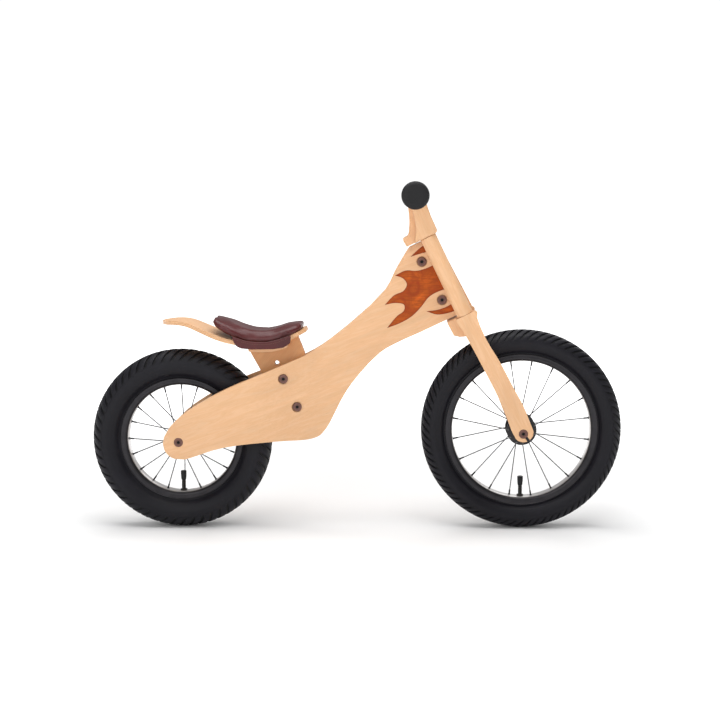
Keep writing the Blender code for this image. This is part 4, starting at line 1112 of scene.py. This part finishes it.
# ------------------------------------------------------------------ stage
def build_stage():
    opts = bpy.context.scene.bike_stage
    scene = bpy.context.scene
    floor_mat = Finish("stage_paper", 0.9, Emission_Strength=1.0)
    away = floor_mat.add("ShaderNodeVectorMath", {0: floor_mat.coords}, operation="LENGTH").outputs["Value"]
    glow = floor_mat.ramp(floor_mat.math("MULTIPLY", away, 0.25), [
        (0.12, (0, 0, 0)), (0.22, (opts.floor_glow * 0.25,) * 3), (0.40, (opts.floor_glow,) * 3),
        (1.0, (opts.floor_glow * 1.15,) * 3)])
    floor_mat.tree.links.new(glow, floor_mat.shader.inputs["Emission Color"])
    paper = floor_mat.noise(floor_mat.mapped((2, 2, 2)), 1.0, 2.0)
    floor_mat.colour(floor_mat.ramp(paper, [(0.3, (0.925, 0.925, 0.925)), (0.7, (0.935, 0.935, 0.935))]))
    bm = bmesh.new()
    size = 60.0
    corners = [bm.verts.new((x * size, y * size, -0.0004)) for x, y in ((-1, -1), (1, -1), (1, 1), (-1, 1))]
    bm.faces.new(corners)
    floor = new_object("stage_floor", to_mesh("stage_floor", bm))
    floor.data.materials.append(floor_mat.mat)

    world = bpy.data.worlds.new("studio")
    world.use_nodes = True
    tree = world.node_tree
    soft = tree.nodes["Background"]
    soft.inputs["Color"].default_value = (1, 1, 1, 1)
    soft.inputs["Strength"].default_value = opts.sky
    bright = tree.nodes.new("ShaderNodeBackground")
    bright.inputs["Color"].default_value = (1, 1, 1, 1)
    bright.inputs["Strength"].default_value = 1.05
    seen = tree.nodes.new("ShaderNodeLightPath")
    blend = tree.nodes.new("ShaderNodeMixShader")
    tree.links.new(seen.outputs["Is Camera Ray"], blend.inputs[0])
    tree.links.new(soft.outputs[0], blend.inputs[1])
    tree.links.new(bright.outputs[0], blend.inputs[2])
    tree.links.new(blend.outputs[0], tree.nodes["World Output"].inputs["Surface"])
    scene.world = world

    for name, place, target, width, height, energy in (
            ("top_box", (-0.1, -0.2, 2.3), (0, 0, 0.2), 2.6, 1.6, opts.top_power),
            ("near_box", (-0.9, -2.2, 1.5), (0, 0, 0.3), 1.6, 1.4, opts.near_power),
            ("rear_box", (1.0, 2.0, 1.6), (0, 0, 0.3), 1.6, 1.2, opts.rear_power)):
        lamp = bpy.data.lights.new(name, "AREA")
        lamp.shape = "RECTANGLE"
        lamp.size = width
        lamp.size_y = height
        lamp.energy = energy
        ob = bpy.data.objects.new(name, lamp)
        scene.collection.objects.link(ob)
        ob.location = place
        ob.rotation_euler = (Vector(target) - Vector(place)).to_track_quat("-Z", "Y").to_euler()

    data = bpy.data.cameras.new("camera")
    data.lens = opts.lens
    data.sensor_width = 36.0
    data.shift_x = -0.0371
    data.shift_y = -0.0471
    camera = bpy.data.objects.new("camera", data)
    scene.collection.objects.link(camera)
    camera.location = (0.0834, -2.129, 0.5838)
    yaw, pitch = math.radians(0.811), math.radians(6.130)
    forward = Vector((-math.sin(yaw) * math.cos(pitch), math.cos(yaw) * math.cos(pitch), -math.sin(pitch)))
    camera.rotation_euler = forward.to_track_quat("-Z", "Y").to_euler()
    scene.camera = camera
    scene.view_settings.view_transform = "Standard"
    scene.view_settings.look = "None"


# ------------------------------------------------------------------ add-on
def colour_option(name, description, default):
    return bpy.props.FloatVectorProperty(name=name, description=description, default=default, subtype="COLOR",
                                         size=3, min=0.0, max=1.0)


class BIKE_PG_frame_finish(bpy.types.PropertyGroup):
    veneer: colour_option("Veneer", "Colour of the pale birch veneer", (0.785, 0.485, 0.275))
    panel: colour_option("Seat panel", "Colour of the ply under the seat", (0.70, 0.36, 0.155))
    flame_inner: colour_option("Flame", "Colour of the flames inside their outline", (0.46, 0.085, 0.006))
    flame_edge: colour_option("Flame edge", "Colour of the flames along their outline", (0.22, 0.028, 0.003))


class BIKE_PG_saddle(bpy.types.PropertyGroup):
    colour: colour_option("Cover", "Colour of the saddle's leatherette", (0.092, 0.014, 0.015))


class BIKE_PG_wheels(bpy.types.PropertyGroup):
    rubber: colour_option("Rubber", "Colour of the tyres", (0.0062, 0.0058, 0.0092))
    rear_blocks: bpy.props.IntProperty(name="Rear blocks", description="Tread blocks round the rear tyre",
                                       default=55, min=12)
    front_blocks: bpy.props.IntProperty(name="Front blocks", description="Tread blocks round the front tyre",
                                        default=76, min=12)


class BIKE_PG_hardware(bpy.types.PropertyGroup):
    bronze: colour_option("Bolts", "Colour of the coated bolts", (0.185, 0.095, 0.078))


class BIKE_PG_stage(bpy.types.PropertyGroup):
    lens: bpy.props.FloatProperty(name="Lens", description="Focal length of the camera in millimetres",
                                  default=61.475, min=10)
    sky: bpy.props.FloatProperty(name="Sky", description="Strength of the white surround", default=0.36,
                                 min=0)
    floor_glow: bpy.props.FloatProperty(name="Floor glow", description="Light that the paper floor adds",
                                        default=0.95, min=0)
    top_power: bpy.props.FloatProperty(name="Top light", description="Power of the overhead box",
                                       default=48.0,
                                       min=0, subtype="POWER", unit="POWER")
    near_power: bpy.props.FloatProperty(name="Near light", description="Power of the box by the camera",
                                        default=18.0, min=0, subtype="POWER", unit="POWER")
    rear_power: bpy.props.FloatProperty(name="Rear light", description="Power of the box behind the bike",
                                        default=11.0, min=0, subtype="POWER", unit="POWER")


class BIKE_OT_AddFrame(bpy.types.Operator):
    """Make the frame's plates, flames and seat panel"""

    bl_idname = "bike.add_frame"
    bl_label = "Frame plates and flames"

    def execute(self, context):
        build_frame()
        return {"FINISHED"}


class BIKE_OT_AddSaddle(bpy.types.Operator):
    """Make the seat board, the cushion and its skirts"""

    bl_idname = "bike.add_saddle"
    bl_label = "Saddle"

    def execute(self, context):
        build_saddle()
        return {"FINISHED"}


class BIKE_OT_AddCage(bpy.types.Operator):
    """Make the legs, columns, stem, bar and grips"""

    bl_idname = "bike.add_cage"
    bl_label = "Steering cage"

    def execute(self, context):
        build_cage()
        return {"FINISHED"}


class BIKE_OT_AddWheels(bpy.types.Operator):
    """Make both wheels with tyres, rims, spokes and valves"""

    bl_idname = "bike.add_wheels"
    bl_label = "Wheels"

    def execute(self, context):
        build_wheels()
        return {"FINISHED"}


class BIKE_OT_AddHardware(bpy.types.Operator):
    """Make the frame and axle bolts"""

    bl_idname = "bike.add_hardware"
    bl_label = "Bolts"

    def execute(self, context):
        build_hardware()
        return {"FINISHED"}


class BIKE_OT_AddStage(bpy.types.Operator):
    """Make the floor, the lights and the camera"""

    bl_idname = "bike.add_stage"
    bl_label = "Stage"

    def execute(self, context):
        build_stage()
        return {"FINISHED"}


OPERATORS = (BIKE_OT_AddFrame, BIKE_OT_AddSaddle, BIKE_OT_AddCage, BIKE_OT_AddWheels,
             BIKE_OT_AddHardware, BIKE_OT_AddStage)
GROUPS = {"bike_frame_finish": BIKE_PG_frame_finish, "bike_saddle": BIKE_PG_saddle,
          "bike_wheels": BIKE_PG_wheels,
          "bike_hardware": BIKE_PG_hardware, "bike_stage": BIKE_PG_stage}


class BIKE_PT_panel(bpy.types.Panel):
    """Lists the bike's groups of pieces."""

    bl_label = "Balance Bike"
    bl_idname = "BIKE_PT_panel"
    bl_space_type = "VIEW_3D"
    bl_region_type = "UI"
    bl_category = "Balance Bike"

    def draw(self, context):
        for operator in OPERATORS:
            self.layout.operator(operator.bl_idname)


def register():
    for cls in (*GROUPS.values(), *OPERATORS, BIKE_PT_panel):
        bpy.utils.register_class(cls)
    for name, cls in GROUPS.items():
        setattr(bpy.types.Scene, name, bpy.props.PointerProperty(type=cls))


def unregister():
    for name in GROUPS:
        delattr(bpy.types.Scene, name)
    for cls in (BIKE_PT_panel, *reversed(OPERATORS), *reversed(list(GROUPS.values()))):
        bpy.utils.unregister_class(cls)


def main():
    register()
    for operator in OPERATORS:
        getattr(bpy.ops.bike, operator.bl_idname.split(".")[1])()


if __name__ == "__main__":
    main()
